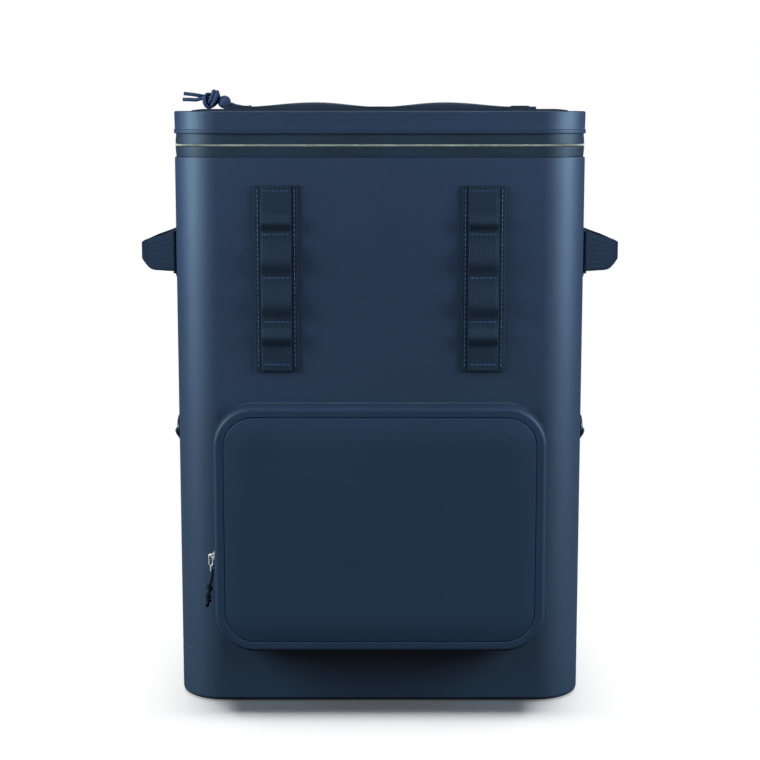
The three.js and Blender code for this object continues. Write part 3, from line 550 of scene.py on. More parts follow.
def shadeTowardsBase(material, shadeColor, top, bottom):
    # painted shade: the cloth is coloured a little darker towards the base, standing in for the light falling off
    # lower down
    place = addNode(material, "TexCoord")
    height = addNode(material, "SeparateXYZ", None, {0: place.outputs["Object"]})
    low = addNode(material, "MapRange", {"From Min": top, "From Max": bottom}, {"Value": height.outputs["Z"]})
    clean = shaderInput(material, "Base Color").links[0].from_socket
    mix = addNode(material, "Mix", {7: hexColor(shadeColor)}, {0: low.outputs[0], 6: clean}, data_type="RGBA")
    material.node_tree.links.new(mix.outputs[2], shaderInput(material, "Base Color"))


def roughen(material, factor, smooth, rough):
    span = addNode(material, "MapRange", {"To Min": smooth, "To Max": rough}, {"Value": factor})
    material.node_tree.links.new(span.outputs[0], shaderInput(material, "Roughness"))


def emboss(material, *layers):
    # bumps on bumps: (height, depth in metres)
    normal = None
    for height, depth in layers:
        bump = addNode(material, "Bump", {"Strength": 1.0, "Distance": depth}, {"Height": height})
        if normal:
            material.node_tree.links.new(normal, bump.inputs["Normal"])
        normal = bump.outputs["Normal"]
    material.node_tree.links.new(normal, shaderInput(material, "Normal"))


# 840-denier nylon with a matt polyurethane coat: soft wide highlights at the corners, a very fine thread grain
coatedNylon = startMaterial("coatedNylonFabric", **{"IOR": 1.4, "Specular IOR Level": 0.56})
slack = grainHeight(coatedNylon, 0.09, 2.0)
thread = weaveHeight(coatedNylon, (0.0009, 0.0009))  # real threads are 0.4 mm, drawn at 0.9 to show
tint(coatedNylon, "#161F2F", "#192233", slack)
# painted shade: darker towards the base
shadeTowardsBase(coatedNylon, "#252E38", 0.38, -0.04)
roughen(coatedNylon, grainHeight(coatedNylon, 0.004), 0.44, 0.56)
emboss(coatedNylon, (slack, 0.0012), (thread, 0.00004), (grainHeight(coatedNylon, 0.0016), 0.00005))

# the pocket's laminate is moulded: smoother skin over the same cloth
mouldedLaminate = startMaterial("mouldedLaminateFabric", **{"IOR": 1.4, "Specular IOR Level": 0.28})
slack = grainHeight(mouldedLaminate, 0.07, 2.0)
tint(mouldedLaminate, "#1C2531", "#1F2835", slack)
# painted shade: darker towards the base
shadeTowardsBase(mouldedLaminate, "#222D3A", 0.32, -0.02)
roughen(mouldedLaminate, grainHeight(mouldedLaminate, 0.004), 0.46, 0.58)
emboss(mouldedLaminate, (slack, 0.0008), (weaveHeight(mouldedLaminate, (0.0009, 0.0009)), 0.00003))

# water-resistant zip tape: woven polyester under a satin film
zipTape = startMaterial("coatedZipTape", **{"IOR": 1.4, "Specular IOR Level": 0.4})
tint(zipTape, "#12181F", "#171F28", grainHeight(zipTape, 0.03))
roughen(zipTape, grainHeight(zipTape, 0.002), 0.42, 0.55)
emboss(zipTape, (weaveHeight(zipTape, (0.0011, 0.0011)), 0.00008))

# polyester coil teeth, dull and a little worn on top
zipCoil = startMaterial("polyesterCoil", **{"IOR": 1.5, "Roughness": 0.5})
tint(zipCoil, "#82745F", "#9D8B73", grainHeight(zipCoil, 0.003))

pocketCoil = startMaterial("darkPolyesterCoil", **{"IOR": 1.5, "Roughness": 0.5})
tint(pocketCoil, "#15181D", "#26282B", grainHeight(pocketCoil, 0.003))

# woven nylon webbing: real picks are 0.8 mm, drawn about twice as wide so that the weave shows
nylonWebbing = startMaterial("wovenNylonWebbing", **{"IOR": 1.4, "Specular IOR Level": 0.35})
picks = weaveHeight(nylonWebbing, (0.0016, 0.0013))
# painted shade: the weave's low places are coloured darker than its crests
tint(nylonWebbing, "#0D141D", "#121A26", picks, 0.1, 0.9)
roughen(nylonWebbing, picks, 0.72, 0.55)
emboss(nylonWebbing, (picks, 0.00016))

# the handles' webbing is coloured darker than the other webbing, and looks flatter for its coat
handleWebbing = startMaterial("coatedNylonWebbing", **{"IOR": 1.35, "Specular IOR Level": 0.2})
picks = weaveHeight(handleWebbing, (0.0016, 0.0013))
# painted shade: the weave's low places are coloured darker than its crests
tint(handleWebbing, "#0A111B", "#0E1622", picks, 0.1, 0.9)
roughen(handleWebbing, picks, 0.75, 0.65)
emboss(handleWebbing, (picks, 0.0001))

# braided polyester cord, 16 strands
braidedCord = startMaterial("braidedPolyesterCord", **{"IOR": 1.5, "Specular IOR Level": 0.35})
strands = weaveHeight(braidedCord, (0.0014, 0.0014), math.pi / 4)
# painted shade: the low places between the strands are coloured darker than the strands' tops
tint(braidedCord, "#0F182A", "#1F304E", strands, 0.1, 0.9)
roughen(braidedCord, strands, 0.7, 0.55)
emboss(braidedCord, (strands, 0.00035))

# thin waxed polyester cord, nearly black
waxedCord = startMaterial("waxedPolyesterCord", **{"IOR": 1.4, "Roughness": 0.7, "Specular IOR Level": 0.25})
strands = weaveHeight(waxedCord, (0.0008, 0.0008), math.pi / 4)
# painted shade: the low places between the strands are coloured darker than the strands' tops
tint(waxedCord, "#030406", "#0A0C10", strands, 0.1, 0.9)
emboss(waxedCord, (strands, 0.00012))

# die-cast zinc with a warm, satin nickel plate, rubbed on its high places
nickelPlate = startMaterial("nickelPlatedZinc", **{"Metallic": 0.7})
rubbed = grainHeight(nickelPlate, 0.002)
tint(nickelPlate, "#D6BEA6", "#F2DAC2", rubbed)
roughen(nickelPlate, rubbed, 0.36, 0.5)
emboss(nickelPlate, (grainHeight(nickelPlate, 0.0006), 0.00002))

# blackened steel wire, dark with a brown tone
gunmetalWire = startMaterial("blackenedSteelWire", **{"Metallic": 1.0})
rubbed = grainHeight(gunmetalWire, 0.002)
tint(gunmetalWire, "#2A2A29", "#4A4B4B", rubbed)
roughen(gunmetalWire, rubbed, 0.3, 0.45)

# knitted spacer mesh over foam: open cells 3 mm apart
airMesh = startMaterial("knittedAirMesh", **{"IOR": 1.5, "Sheen Weight": 0.15, "Sheen Roughness": 0.5})
place = addNode(airMesh, "TexCoord")
cells = addNode(airMesh, "TexVoronoi", {"Scale": 330.0, "Randomness": 0.25},
                {"Vector": place.outputs["Object"]}, feature="DISTANCE_TO_EDGE")
# painted shade: the grooves between the cells are coloured darker than the cells' tops
tint(airMesh, "#0C1119", "#222C3B", cells.outputs["Distance"], 0.05, 0.3)
roughen(airMesh, cells.outputs["Distance"], 0.7, 0.85)
emboss(airMesh, (cells.outputs["Distance"], 0.0012))

# moulded acetal: a fine spark-eroded grain and soft edges
acetal = startMaterial("mouldedAcetal", **{"IOR": 1.48})
tint(acetal, "#14181F", "#1B212A", grainHeight(acetal, 0.01))
roughen(acetal, grainHeight(acetal, 0.0008), 0.38, 0.5)
emboss(acetal, (grainHeight(acetal, 0.0006), 0.00003))

# bonded polyester thread
stitchThread = startMaterial("bondedPolyesterThread", **{"IOR": 1.5, "Roughness": 0.5})
tint(stitchThread, "#1F3757", "#2D4B70", grainHeight(stitchThread, 0.003))
print("materials done")


def metres(points):
    return [Vector(point) / 1000 for point in points]


mainPull = {
    "cordWidth": 0.0035,
    "eye": (-132, 118.8, 497.6),
    "routeA": [(-133.8, 119.2, 497.7), (-137.6, 119.6, 499.6), (-139.6, 119.3, 504), (-140, 118.6, 510),
               (-140, 118, 517), (-139.8, 117, 524), (-139.2, 113.6, 529.6), (-138.4, 107.5, 531.4),
               (-137.6, 100, 530), (-137, 92, 529.3), (-136.4, 84, 529.3), (-135.8, 76, 529.3),
               (-135.2, 68, 529.3), (-134.6, 60, 529.3), (-134, 52, 529.4), (-133.4, 44, 529.9),
               (-133.2, 37, 530.1), (-134, 30.6, 530.7), (-136.2, 26.2, 531.2), (-139, 23.6, 532),
               (-141.6, 22, 533)],
    "routeB": [(-130.2, 119.2, 497.7), (-126.6, 119.6, 499.6), (-125, 119.3, 504), (-125, 118.6, 510),
               (-125.6, 118, 517), (-126.4, 117, 524), (-127, 113.6, 529.6), (-127.6, 107.5, 531.4),
               (-128.2, 100, 530), (-128.6, 92, 529.3), (-129, 84, 529.3), (-129.2, 76, 529.3),
               (-129.3, 68, 529.3), (-129.4, 60, 529.3), (-129.4, 52, 529.4), (-129.2, 44, 529.9),
               (-129, 37, 530.1), (-129.4, 30, 530.8), (-131.4, 24.8, 531.3), (-134.8, 21.6, 532),
               (-138.4, 19.6, 533.4), (-141.4, 18.6, 534.6)],
    "bead": {"place": (-145.2, 19.4, 535.5), "size": (12.2, 11.6, 11.6), "tilt": -0.5, "ribs": 9, "ribRise": 0.012},
    "knotPlace": (-157.2, 18.8, 538),
    "knotLine": [(7.5, 0, 0.5), (4, 2.5, 1), (-1, 3.5, 2.5), (-4.5, 1, 2.5), (-6, -2.5, -1.5), (-4, -1.5, -6),
                 (0, 2, -5), (4, 3.2, -1), (5, 2.5, 3), (4.2, -0.5, 7.2), (3, -3.8, 3.5), (1, -4, -2),
                 (-1, -2, -4.5), (-3, 1, -2), (-5, 1.5, 1.5), (-8, 0, 3)],
    "tails": [[(-171, 18.4, 541.9), (-177, 18, 542.7), (-182.6, 17.6, 543.3)],
              [(-171, 20.4, 537.6), (-177.6, 21, 537.8), (-184, 21.4, 537.9)]],
}
for strand in "AB":
    route = smoothRoute(metres([mainPull["eye"], *mainPull["route" + strand]]), 3)
    cord = makeTube("mainPullCord" + strand, route, mainPull["cordWidth"], 12)
    dressPiece(cord, braidedCord, "cord", "main_pull_cord_" + strand.lower(), angle=60)

bead = mainPull["bead"]
clearSelection()
bpy.ops.mesh.primitive_uv_sphere_add(segments=32, ring_count=20, radius=0.5)
mainBead = keepPlace("mainPullBead")
mainBead.data.transform(Matrix.Rotation(math.pi / 2, 4, "Y"))
pick(mainBead, "VERT", lambda v: round((v.co.x + 0.5) * bead["ribs"]) % 2 == 1)
bpy.ops.transform.shrink_fatten(value=bead["ribRise"])
leaveEdit()
mainBead.data.transform(Matrix.Translation(Vector(bead["place"]) / 1000) @ Matrix.Rotation(bead["tilt"], 4, "Y")
                        @ Matrix.Diagonal((*[side / 1000 for side in bead["size"]], 1)))
boxUv(mainBead)
dressPiece(mainBead, braidedCord, "cord", "main_pull_bead", angle=60)

middle = Vector(mainPull["knotPlace"]) / 1000
centreLine = smoothRoute([middle + point for point in metres(mainPull["knotLine"])], 5)
strandSides = [normal for normal, _ in carriedNormals(centreLine, (0, 0, 1))]
endUp = 1 if strandSides[-1].z > 0 else -1
knotStrands = []
for tail, sign in zip(mainPull["tails"], (endUp, -endUp)):
    strand = [point + normal * sign * mainPull["cordWidth"] / 2 for point, normal in zip(centreLine, strandSides)]
    strand = strand[:-2:2] + metres(tail)
    knotStrands.append(makeTube("strand", smoothRoute(strand, 3), mainPull["cordWidth"] * 0.98, 12))
joinPieces(knotStrands)
mainKnot = keepPlace("mainPullKnot")
dressPiece(mainKnot, braidedCord, "cord", "main_pull_knot", "main_pull_tail_a", "main_pull_tail_b", angle=60)

pocketPull = {
    "cordWidth": 0.0025,
    "route": [(-149.6, -117.8, 123.6), (-149, -118.1, 121.6), (-149.1, -118.3, 119), (-149.8, -118.4, 116),
              (-150.6, -118.4, 112.6), (-151.3, -118.4, 109.6), (-151.7, -118.4, 106.8), (-152.1, -118.4, 103.6),
              (-152.6, -118.4, 100), (-153.1, -118.4, 96.6), (-153.7, -118.4, 93), (-154.4, -118.4, 89.6)],
    "knots": [("pocketPullKnotUpper", (-151.7, -118.4, 107), 5.4, 6.6, "pocket_pull_knot_upper"),
              ("pocketPullKnotLower", (-152.9, -118.4, 98), 5.4, 9, "pocket_pull_knot_lower")],
    "strand": 2.4, "turns": 2.25, "slant": 0.12, "frayed": 9, "frayLength": 4.6, "frayWidth": 0.0008,
    "ring": (0.1263, 0.1378), "neckWidths": [0.0026, 0.0026, 0.0025, 0.0023, 0.0021, 0.002, 0.0018],
    "neck": [(-149.9, -117.7, 127.2), (-150.1, -117.7, 125), (-150.2, -117.8, 122)],
}
route = smoothRoute(metres(pocketPull["route"]), 3)
pocketCord = makeTube("pocketPullCord", route, pocketPull["cordWidth"], 10)
dressPiece(pocketCord, waxedCord, "thin_cord", "pocket_pull_cord", "pocket_pull_tail", angle=60)
for name, place, width, length, node in pocketPull["knots"]:
    # an overhand knot drawn tight: one strand wound twice round the cord
    turns = []
    for i in range(41):
        share = i / 40
        angle = share * 2 * math.pi * pocketPull["turns"]
        reach = (width / 2 - 0.9) * math.sin(share * math.pi) ** 0.35
        turns.append((place[0] + reach * math.cos(angle) - (0.5 - share) * pocketPull["slant"] * length,
                      place[1] + reach * math.sin(angle), place[2] + (length / 2 - 0.8) * (1 - 2 * share)))
    knot = makeTube(name, metres(turns), pocketPull["strand"] / 1000, 8)
    if "Lower" in name:  # the cord's strands fray out below the last knot
        end = Vector(place) - Vector((0.4, 0, length / 2 - 1))
        strands = [knot]
        for i in range(pocketPull["frayed"]):
            angle, spread = i * 2.4, 0.5 + 0.13 * i
            tip = end + Vector((spread * math.cos(angle) - 1.2, spread * math.sin(angle),
                                -pocketPull["frayLength"] - 0.25 * (i % 4)))
            bend = (end + tip) / 2 + Vector((0.4 * math.cos(angle), 0.4 * math.sin(angle), 0.6))
            strands.append(makeTube("strand", smoothRoute(metres([end, bend, tip]), 3), pocketPull["frayWidth"], 6))
        joinPieces(strands)
    dressPiece(knot, waxedCord, "thin_cord", node, angle=60)
print("cords done")


body = {"halfX": 0.1812, "halfY": 0.1125, "top": 0.4874, "corner": 0.04, "segments": 14, "bottomRound": 0.004,
        "wall": 0.02, "floor": 0.022,
        "seamHeight": 0.046, "seamHalf": 0.0012, "seamDepth": 0.0005, "seamEnd": 0.015, "rimRound": 0.0012}
bodyShell = roundedBox("bodyShell", (-body["halfX"], -body["halfY"], 0), (body["halfX"], body["halfY"], body["top"]),
                       2, (body["corner"], body["segments"]), (body["rimRound"], 2))
bevelEdges(bodyShell, edgesUpTo(2, 0), body["bottomRound"], 4)
pick(bodyShell, "FACE", lambda f: f.normal.z > 0.99)
bpy.ops.mesh.inset(thickness=body["wall"] - body["rimRound"])
bpy.ops.mesh.extrude_region_move(TRANSFORM_OT_translate={"value": (0, 0, body["floor"] - body["top"])})
leaveEdit()
# the base's welded seam shows as a groove at the sides only
seam = body["seamHeight"]
cutLevels(bodyShell, [seam - body["seamHalf"], seam, seam + body["seamHalf"]])
fatten(bodyShell, lambda v: abs(v.co.z - seam) < touch and abs(v.co.x) > body["halfX"] - body["seamEnd"],
       -body["seamDepth"])
wrapUv(bodyShell, *outline(body))
dressPiece(bodyShell, coatedNylon, "coated_fabric", "body_shell", flatFaces=True)
print("body done")


lidSize = {"low": 0.5078, "high": 0.527, "hemTop": 0.5112, "hemSteps": (-0.0004, 0, 0.0005), "hemProud": 0.0005,
           "hemEdge": 0.0008, "hemGroove": 0.0003, "edge": 0.0015, "weldInset": 0.0105,
           "weldWidth": 0.001, "weldDepth": 0.0006}
lid = roundedBox("lidPanel", (-body["halfX"], -body["halfY"], lidSize["low"]),
                 (body["halfX"], body["halfY"], lidSize["high"]),
                 2, (body["corner"], body["segments"]), (lidSize["edge"], 3))
hemLevels = [lidSize["hemTop"] + step for step in lidSize["hemSteps"]]
cutLevels(lid, hemLevels)
fatten(lid, lambda v: v.co.z < hemLevels[0] + touch, lidSize["hemProud"])
bevelEdges(lid, edgesUpTo(2, lidSize["low"]), lidSize["hemEdge"], 2)
fatten(lid, lambda v: abs(v.co.z - hemLevels[2]) < touch, -lidSize["hemGroove"])
pick(lid, "FACE", lambda f: f.normal.z > 0.99)
bpy.ops.mesh.inset(thickness=lidSize["weldInset"] - lidSize["edge"])
weldGroove(lidSize["weldWidth"], lidSize["weldDepth"])
leaveEdit()
wrapUv(lid, *outline(body))
dressPiece(lid, coatedNylon, "coated_fabric", "lid", flatFaces=True)
print("lid done")


zipBand = {"open": 0.1203, "lower": (0.4877, 0.4963), "upper": (0.4989, 0.5075), "outerInset": 0.0014,
           "coilInset": 0.0008, "thickness": 0.002, "coil": (0.4966, 0.4986), "core": 0.0015, "coreInset": 0.0014,
           "coreIn": 0.0001, "fold": 0.0015, "hingeEdge": 0.0004}
tooth = {"length": 0.00116, "depth": 0.0018, "edge": 0.0004, "pitch": 0.0017}


def wallBand(name, halfX, halfY, radius, low, high, openHalf=None):
    # an upright band of cloth round the outline, open at the back where asked
    piece = boxPiece(name, (-halfX, -halfY, low), (halfX, halfY, high))
    bevelEdges(piece, edgesAlong(2), radius, 14)
    cutAway(piece, lambda f: abs(f.normal.z) > 0.9)
    if openHalf:
        cutLevels(piece, [-openHalf, openHalf], (1, 0, 0))
        cutAway(piece, lambda f: f.calc_center_median().y > halfY - touch and
                abs(f.calc_center_median().x) < openHalf)
    return piece


def zipTeeth(name, height, halfX, halfY, radius, middle, keep, turned=Matrix()):
    # one tooth shape, set a pitch apart round the outline
    size = (tooth["length"] / 2, tooth["depth"] / 2, height / 2)
    shape = boxPiece("tooth", [-side for side in size], size)
    bevelEdges(shape, lambda e: True, tooth["edge"], 1)
    lift = Vector((0, 0, middle))
    return repeatAt(name, shape, [turned @ placedAt(place + lift, out.cross((0, 0, 1)), (0, 0, 1))
                                  for place, out in roundedPath(halfX, halfY, radius, tooth["pitch"], keep)])


for name, (low, high), coilSide, node in (
        ("zipTapeLower", zipBand["lower"], 1, "zipper_tape_lower"),
        ("zipTapeUpper", zipBand["upper"], 0, "zipper_tape_upper")):
    inset = zipBand["outerInset"]
    tape = wallBand(name, *outline(body, inset), low, high,
                    zipBand["open"])
    level = (low, high)[coilSide]
    cutLevels(tape, [level - zipBand["fold"] if coilSide else level + zipBand["fold"]])
    fatten(tape, lambda v: abs(v.co.z - level) < zipBand["fold"] + touch, inset - zipBand["coilInset"])
    thicken(tape, zipBand["thickness"])
    wrapUv(tape, *outline(body, inset))
    dressPiece(tape, zipTape, "zip_tape", node)

inset = zipBand["coreInset"]
low, high = zipBand["coil"]
coilCore = wallBand("zipCoilCore", *outline(body, inset),
                    low + zipBand["coreIn"], high - zipBand["coreIn"], zipBand["open"])
thicken(coilCore, zipBand["core"])
wrapUv(coilCore, *outline(body))
dressPiece(coilCore, zipCoil, "zip_coil")
teeth = zipTeeth("zipCoilTeeth", high - low, *outline(body, inset),
                 (low + high) / 2, lambda place: not (place.y > 0 and abs(place.x) < zipBand["open"]))
dressPiece(teeth, zipCoil, "zip_coil", "zipper_coil", angle=60)

hinge = boxPiece("lidHinge", *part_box("lid_hinge"))
bevelEdges(hinge, lambda e: True, zipBand["hingeEdge"], 2)
boxUv(hinge)
dressPiece(hinge, coatedNylon, "coated_fabric", "lid_hinge")
print("lid zip done")


lidWebbing = {"half": 0.171, "width": 0.0508, "base": 0.52704, "thickness": 0.0020, "taper": 0.009, "edge": 0.0008,
              "ease": 0.0023}
lidStrap = {"half": 0.143, "width": 0.0254, "base": 0.52902, "thickness": 0.0022, "loopStart": 0.0072,
            "loopLength": 0.112, "rise": 0.0039, "foldIn": 0.0065, "foldLength": 0.015, "foldRise": 0.0008,
            "foldSunk": 0.001, "cup": 0.002, "tackRise": 0.0001}


def loopHeight(share, crest, full=2.0):
    # 0 at both ends and 1 at the crest; a lower power makes a fuller loop
    if not 0 < share < 1:
        return 0
    climb = share / crest if share < crest else (1 - share) / (1 - crest)
    return math.sin(climb * math.pi / 2) ** full


def lidLoop(x):
    return loopHeight((abs(x) - lidStrap["loopStart"]) / lidStrap["loopLength"], 0.47, 1.5)


# the wide webbing lies flat and swells a little under the loops
line, depths = [], []
for i in range(61):
    x = lidWebbing["half"] * (i / 30 - 1)
    inner = min(1, (lidWebbing["half"] - abs(x)) / lidWebbing["taper"])
    depth = (lidWebbing["edge"] + (lidWebbing["thickness"] - lidWebbing["edge"]) * inner
             + lidWebbing["ease"] * lidLoop(x))
    line.append((x, 0, lidWebbing["base"] + depth / 2))
    depths.append(depth)
lidBase = bandPiece("lidWebbing", line, lidWebbing["width"], depths, (0, 1, 0), columns=8)
dressPiece(lidBase, nylonWebbing, "webbing", "lid_webbing")

middleUp = lidStrap["base"] + lidStrap["thickness"] / 2
line, cups = [], []
for i in range(97):
    x = lidStrap["half"] * (i / 48 - 1)
    tack = lidStrap["tackRise"] * (abs(x) < lidStrap["loopStart"])
    line.append((x, 0, middleUp + tack + lidStrap["rise"] * lidLoop(x)))
    cups.append(lidStrap["cup"] * lidLoop(x))
strap = bandPiece("lidStrap", line, lidStrap["width"], lidStrap["thickness"], (0, 1, 0), cup=cups)
dressPiece(strap, nylonWebbing, "webbing", "lid_strap")
for side, sign in sides:  # the strap's ends are folded back
    outer = lidStrap["half"] - lidStrap["foldIn"]
    thick = lidStrap["foldRise"] + lidStrap["foldSunk"]
    up = lidStrap["base"] + lidStrap["thickness"] + lidStrap["foldRise"] - thick / 2
    fold = bandPiece("lidStrapFold" + side, [(sign * (outer - share * lidStrap["foldLength"]), 0, up)
                                             for share in (1, 0.5, 0)], lidStrap["width"], thick, (0, 1, 0))
    dressPiece(fold, nylonWebbing, "webbing")
print("lid webbing done")


ladder = {"spacing": 0.0902, "top": 0.4634, "bottom": 0.3016, "backWidth": 0.0381, "strapWidth": 0.026,
          "backing": (0.1128, 0.1142), "strapInner": 0.1145, "strapThickness": 0.0016, "rise": 0.0036,
          "firstTack": 0.4585, "pitch": 0.038, "stitchAside": 0.0158, "stitchEnd": 0.003, "tackEnd": 0.0015,
          "sidePitch": 0.0042, "tackPitch": 0.0036, "stitch": (0.003, 0.0008, 0.0006),
          "loops": [(0.5, 0.93, 0.5), (0.05, 0.96, 0.62), (0.05, 0.96, 0.62), (0.1, 0.6, 0.49)],
          "tacks": [0.4587, 0.4212, 0.3833, 0.3448, 0.3073]}
strapMiddle = ladder["strapInner"] + ladder["strapThickness"] / 2
line = [(ladder["top"] - hairline, strapMiddle)]
for i, (start, end, crest) in enumerate(ladder["loops"]):
    tack = ladder["firstTack"] - i * ladder["pitch"]
    for j in range(17):
        share = j / 16
        line.append((tack - (start + share * (end - start)) * ladder["pitch"],
                     strapMiddle + ladder["rise"] * loopHeight(share, crest)))
line.append((ladder["bottom"] + hairline, strapMiddle))
for side, sign in sides:
    x = sign * ladder["spacing"]
    face = -sum(ladder["backing"]) / 2
    steps = [ladder["top"] + (ladder["bottom"] - ladder["top"]) * i / 8 for i in range(9)]
    backing = bandPiece("ladderBacking" + side, [(x, face, z) for z in steps], ladder["backWidth"],
                        ladder["backing"][1] - ladder["backing"][0], (1, 0, 0))
    dressPiece(backing, nylonWebbing, "webbing", "molle_backing_" + side.lower())
    strap = bandPiece("ladderStrap" + side, [(x, -out, z) for z, out in line], ladder["strapWidth"],
                      ladder["strapThickness"], (1, 0, 0))
    dressPiece(strap, nylonWebbing, "webbing", "molle_strap_" + side.lower())
    rows = []
    for aside in (-1, 1):
        edge = x + aside * ladder["stitchAside"]
        rows += stitchLine((edge, -ladder["backing"][1], ladder["top"] - ladder["stitchEnd"]),
                           (edge, -ladder["backing"][1], ladder["bottom"] + ladder["stitchEnd"]), (0, -1, 0),
                           ladder["sidePitch"])
    reach = ladder["strapWidth"] / 2 - ladder["tackEnd"]
    front = -ladder["strapInner"] - ladder["strapThickness"]
    for z in ladder["tacks"]:
        rows += stitchLine((x - reach, front, z), (x + reach, front, z), (0, -1, 0), ladder["tackPitch"])
    stitches = repeatAt("ladderStitches" + side, stitchShape(*ladder["stitch"]), rows)
    dressPiece(stitches, stitchThread, "webbing", angle=60)
print("ladders done")


pocket = {"halfX": 0.1451, "halfY": 0.1092, "corner": 0.035, "middle": 0.1637, "plane": -0.1125,
          "rim": (0.0003, 0.0016), "wall": 0.002, "zipEnd": 0.128, "band": (0.0019, 0.0083),
          "coil": (0.0042, 0.006), "coilProud": 0.0012, "slit": 0.0002, "tapeIn": 0.0009, "shell": (0.0086, 0.028),
          "edge": 0.0035, "weldInset": 0.0088, "weldDepth": 0.0008, "panel": 0.003,
          "crown": [(0.004, 0.0007), (0.005, 0.0007), (0.006, 0.0006), (0.008, 0.0004)]}
standUp = Matrix.Translation((0, pocket["plane"], pocket["middle"])) @ Matrix.Rotation(math.pi / 2, 4, "X")


def pocketWall(name, inset, low, high, part=None):
    # a band round the pocket, made lying flat; part "zip" keeps its top and sides, "base" the rest
    piece = wallBand(name, *outline(pocket, inset), low, high)
    if part:
        split = pocket["zipEnd"] - pocket["middle"] - (hairline if part == "base" else 0)
        cutLevels(piece, [split], (0, 1, 0))
        cutAway(piece, lambda f: (f.calc_center_median().y > split) == (part == "base"))
    thicken(piece, pocket["wall"])
    wrapUv(piece, *outline(pocket))
    piece.data.transform(standUp)
    return piece


dressPiece(pocketWall("pocketRim", 0, *pocket["rim"]), mouldedLaminate, "pocket_fabric", "pocket_rear")
for name, low, high in (("Rear", pocket["band"][0], pocket["coil"][0] - pocket["slit"]),
                        ("Front", pocket["coil"][1] + pocket["slit"], pocket["band"][1])):
    dressPiece(pocketWall("pocketTape" + name, pocket["tapeIn"], low, high, "zip"), zipTape, "zip_tape",
               "pocket_tape_" + name.lower())
dressPiece(pocketWall("pocketCoilCore", -hairline, *pocket["coil"], "zip"), pocketCoil, "zip_coil")
dressPiece(pocketWall("pocketGusset", 0, *pocket["band"], "base"), mouldedLaminate, "pocket_fabric", "pocket_gusset")
out = pocket["coilProud"] - tooth["depth"] / 2
teeth = zipTeeth("pocketTeeth", pocket["coil"][1] - pocket["coil"][0], *outline(pocket, -out), sum(pocket["coil"]) / 2,
                 lambda place: place.y > pocket["zipEnd"] - pocket["middle"], standUp)
dressPiece(teeth, pocketCoil, "zip_coil", "pocket_coil", angle=60)

shell = roundedBox("pocketShell", (-pocket["halfX"], -pocket["halfY"], pocket["shell"][0]),
                   (pocket["halfX"], pocket["halfY"], pocket["shell"][1]),
                   2, (pocket["corner"], 12), (pocket["edge"], 5))
pick(shell, "FACE", lambda f: f.normal.z < -0.99)
bpy.ops.mesh.inset(thickness=pocket["wall"])
bpy.ops.mesh.extrude_region_move(TRANSFORM_OT_translate={
    "value": (0, 0, pocket["shell"][1] - pocket["panel"] - pocket["shell"][0])})
leaveEdit()
pick(shell, "FACE", lambda f: f.normal.z > 0.99 and f.calc_center_median().z > pocket["shell"][1] - touch)
bpy.ops.mesh.inset(thickness=pocket["weldInset"] - pocket["weldDepth"] - pocket["edge"])
weldGroove(pocket["weldDepth"], pocket["weldDepth"])
for step, rise in pocket["crown"]:
    bpy.ops.mesh.inset(thickness=step, depth=rise)
leaveEdit()
wrapUv(shell, *outline(pocket))
shell.data.transform(standUp)
dressPiece(shell, mouldedLaminate, "pocket_fabric", "pocket_shell", angle=30, flatFaces=True)
print("pocket done")


def roundedLoop(place, halfX, halfZ, radius, steps=8):
    # points of a rounded rectangle that faces the front
    points = []
    for quarter in range(4):
        middle = ((halfX - radius) * (1, -1, -1, 1)[quarter], (halfZ - radius) * (1, 1, -1, -1)[quarter])
        for i in range(steps + 1):
            angle = (quarter + i / steps) * math.pi / 2
            points.append(place + Vector((middle[0] + radius * math.cos(angle), 0,
                                          middle[1] + radius * math.sin(angle))))
    return [p for i, p in enumerate(points) if (p - points[i - 1]).length > 1e-6]


slider = {"plate": 0.001, "corner": 0.0022, "edge": 0.0003, "halfBridge": 0.00148, "bridgeWidth": 0.0024,
          "bridgeWall": 0.0009, "bridgeEase": 0.0012, "bridgeSeat": 0.0008, "wire": 0.00145}
low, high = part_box("pocket_slider")
plate = boxPiece("pocketSliderPlate", (high[0] - slider["plate"], low[1], low[2]), high)
bevelEdges(plate, edgesAlong(0), slider["corner"], 4)
bevelEdges(plate, lambda e: True, slider["edge"], 2)
inside, near, top = high[0] - slider["bridgeSeat"], low[0] + slider["bridgeEase"], low[0] + slider["bridgeWall"] / 2
bridge = bandPiece("pocketSliderBridge", smoothRoute([
    (x, (low[1] + high[1]) / 2, (low[2] + high[2]) / 2 + share * slider["halfBridge"])
    for x, share in ((inside, -1), (near, -1), (top, -0.5), (top, 0.5), (near, 1), (inside, 1))], 4),
    slider["bridgeWidth"], slider["bridgeWall"], (0, 1, 0), edge=slider["edge"])
joinPieces([plate, bridge])
pocketSlider = keepPlace("pocketSlider")
boxUv(pocketSlider)
dressPiece(pocketSlider, nickelPlate, "puller_metal", "pocket_slider")

low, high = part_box("pocket_ring")
wire = slider["wire"]
ringMiddle = (Vector(low) + Vector(high)) / 2
ringMiddle.z = sum(pocketPull["ring"]) / 2
halfX, halfZ = (high[0] - low[0] - wire) / 2, (pocketPull["ring"][1] - pocketPull["ring"][0] - wire) / 2
ring = makeTube("pocketRing", roundedLoop(ringMiddle, halfX, halfZ, halfX * 0.98), wire, 12, (0, 1, 0), closed=True)
neck = makeTube("pocketRingNeck", smoothRoute(metres(pocketPull["neck"]), 3), pocketPull["neckWidths"], 12, (0, 1, 0))
joinPieces([ring, neck])
dressPiece(ring, nickelPlate, "puller_metal", "pocket_ring", angle=60)
print("pocket pull done")


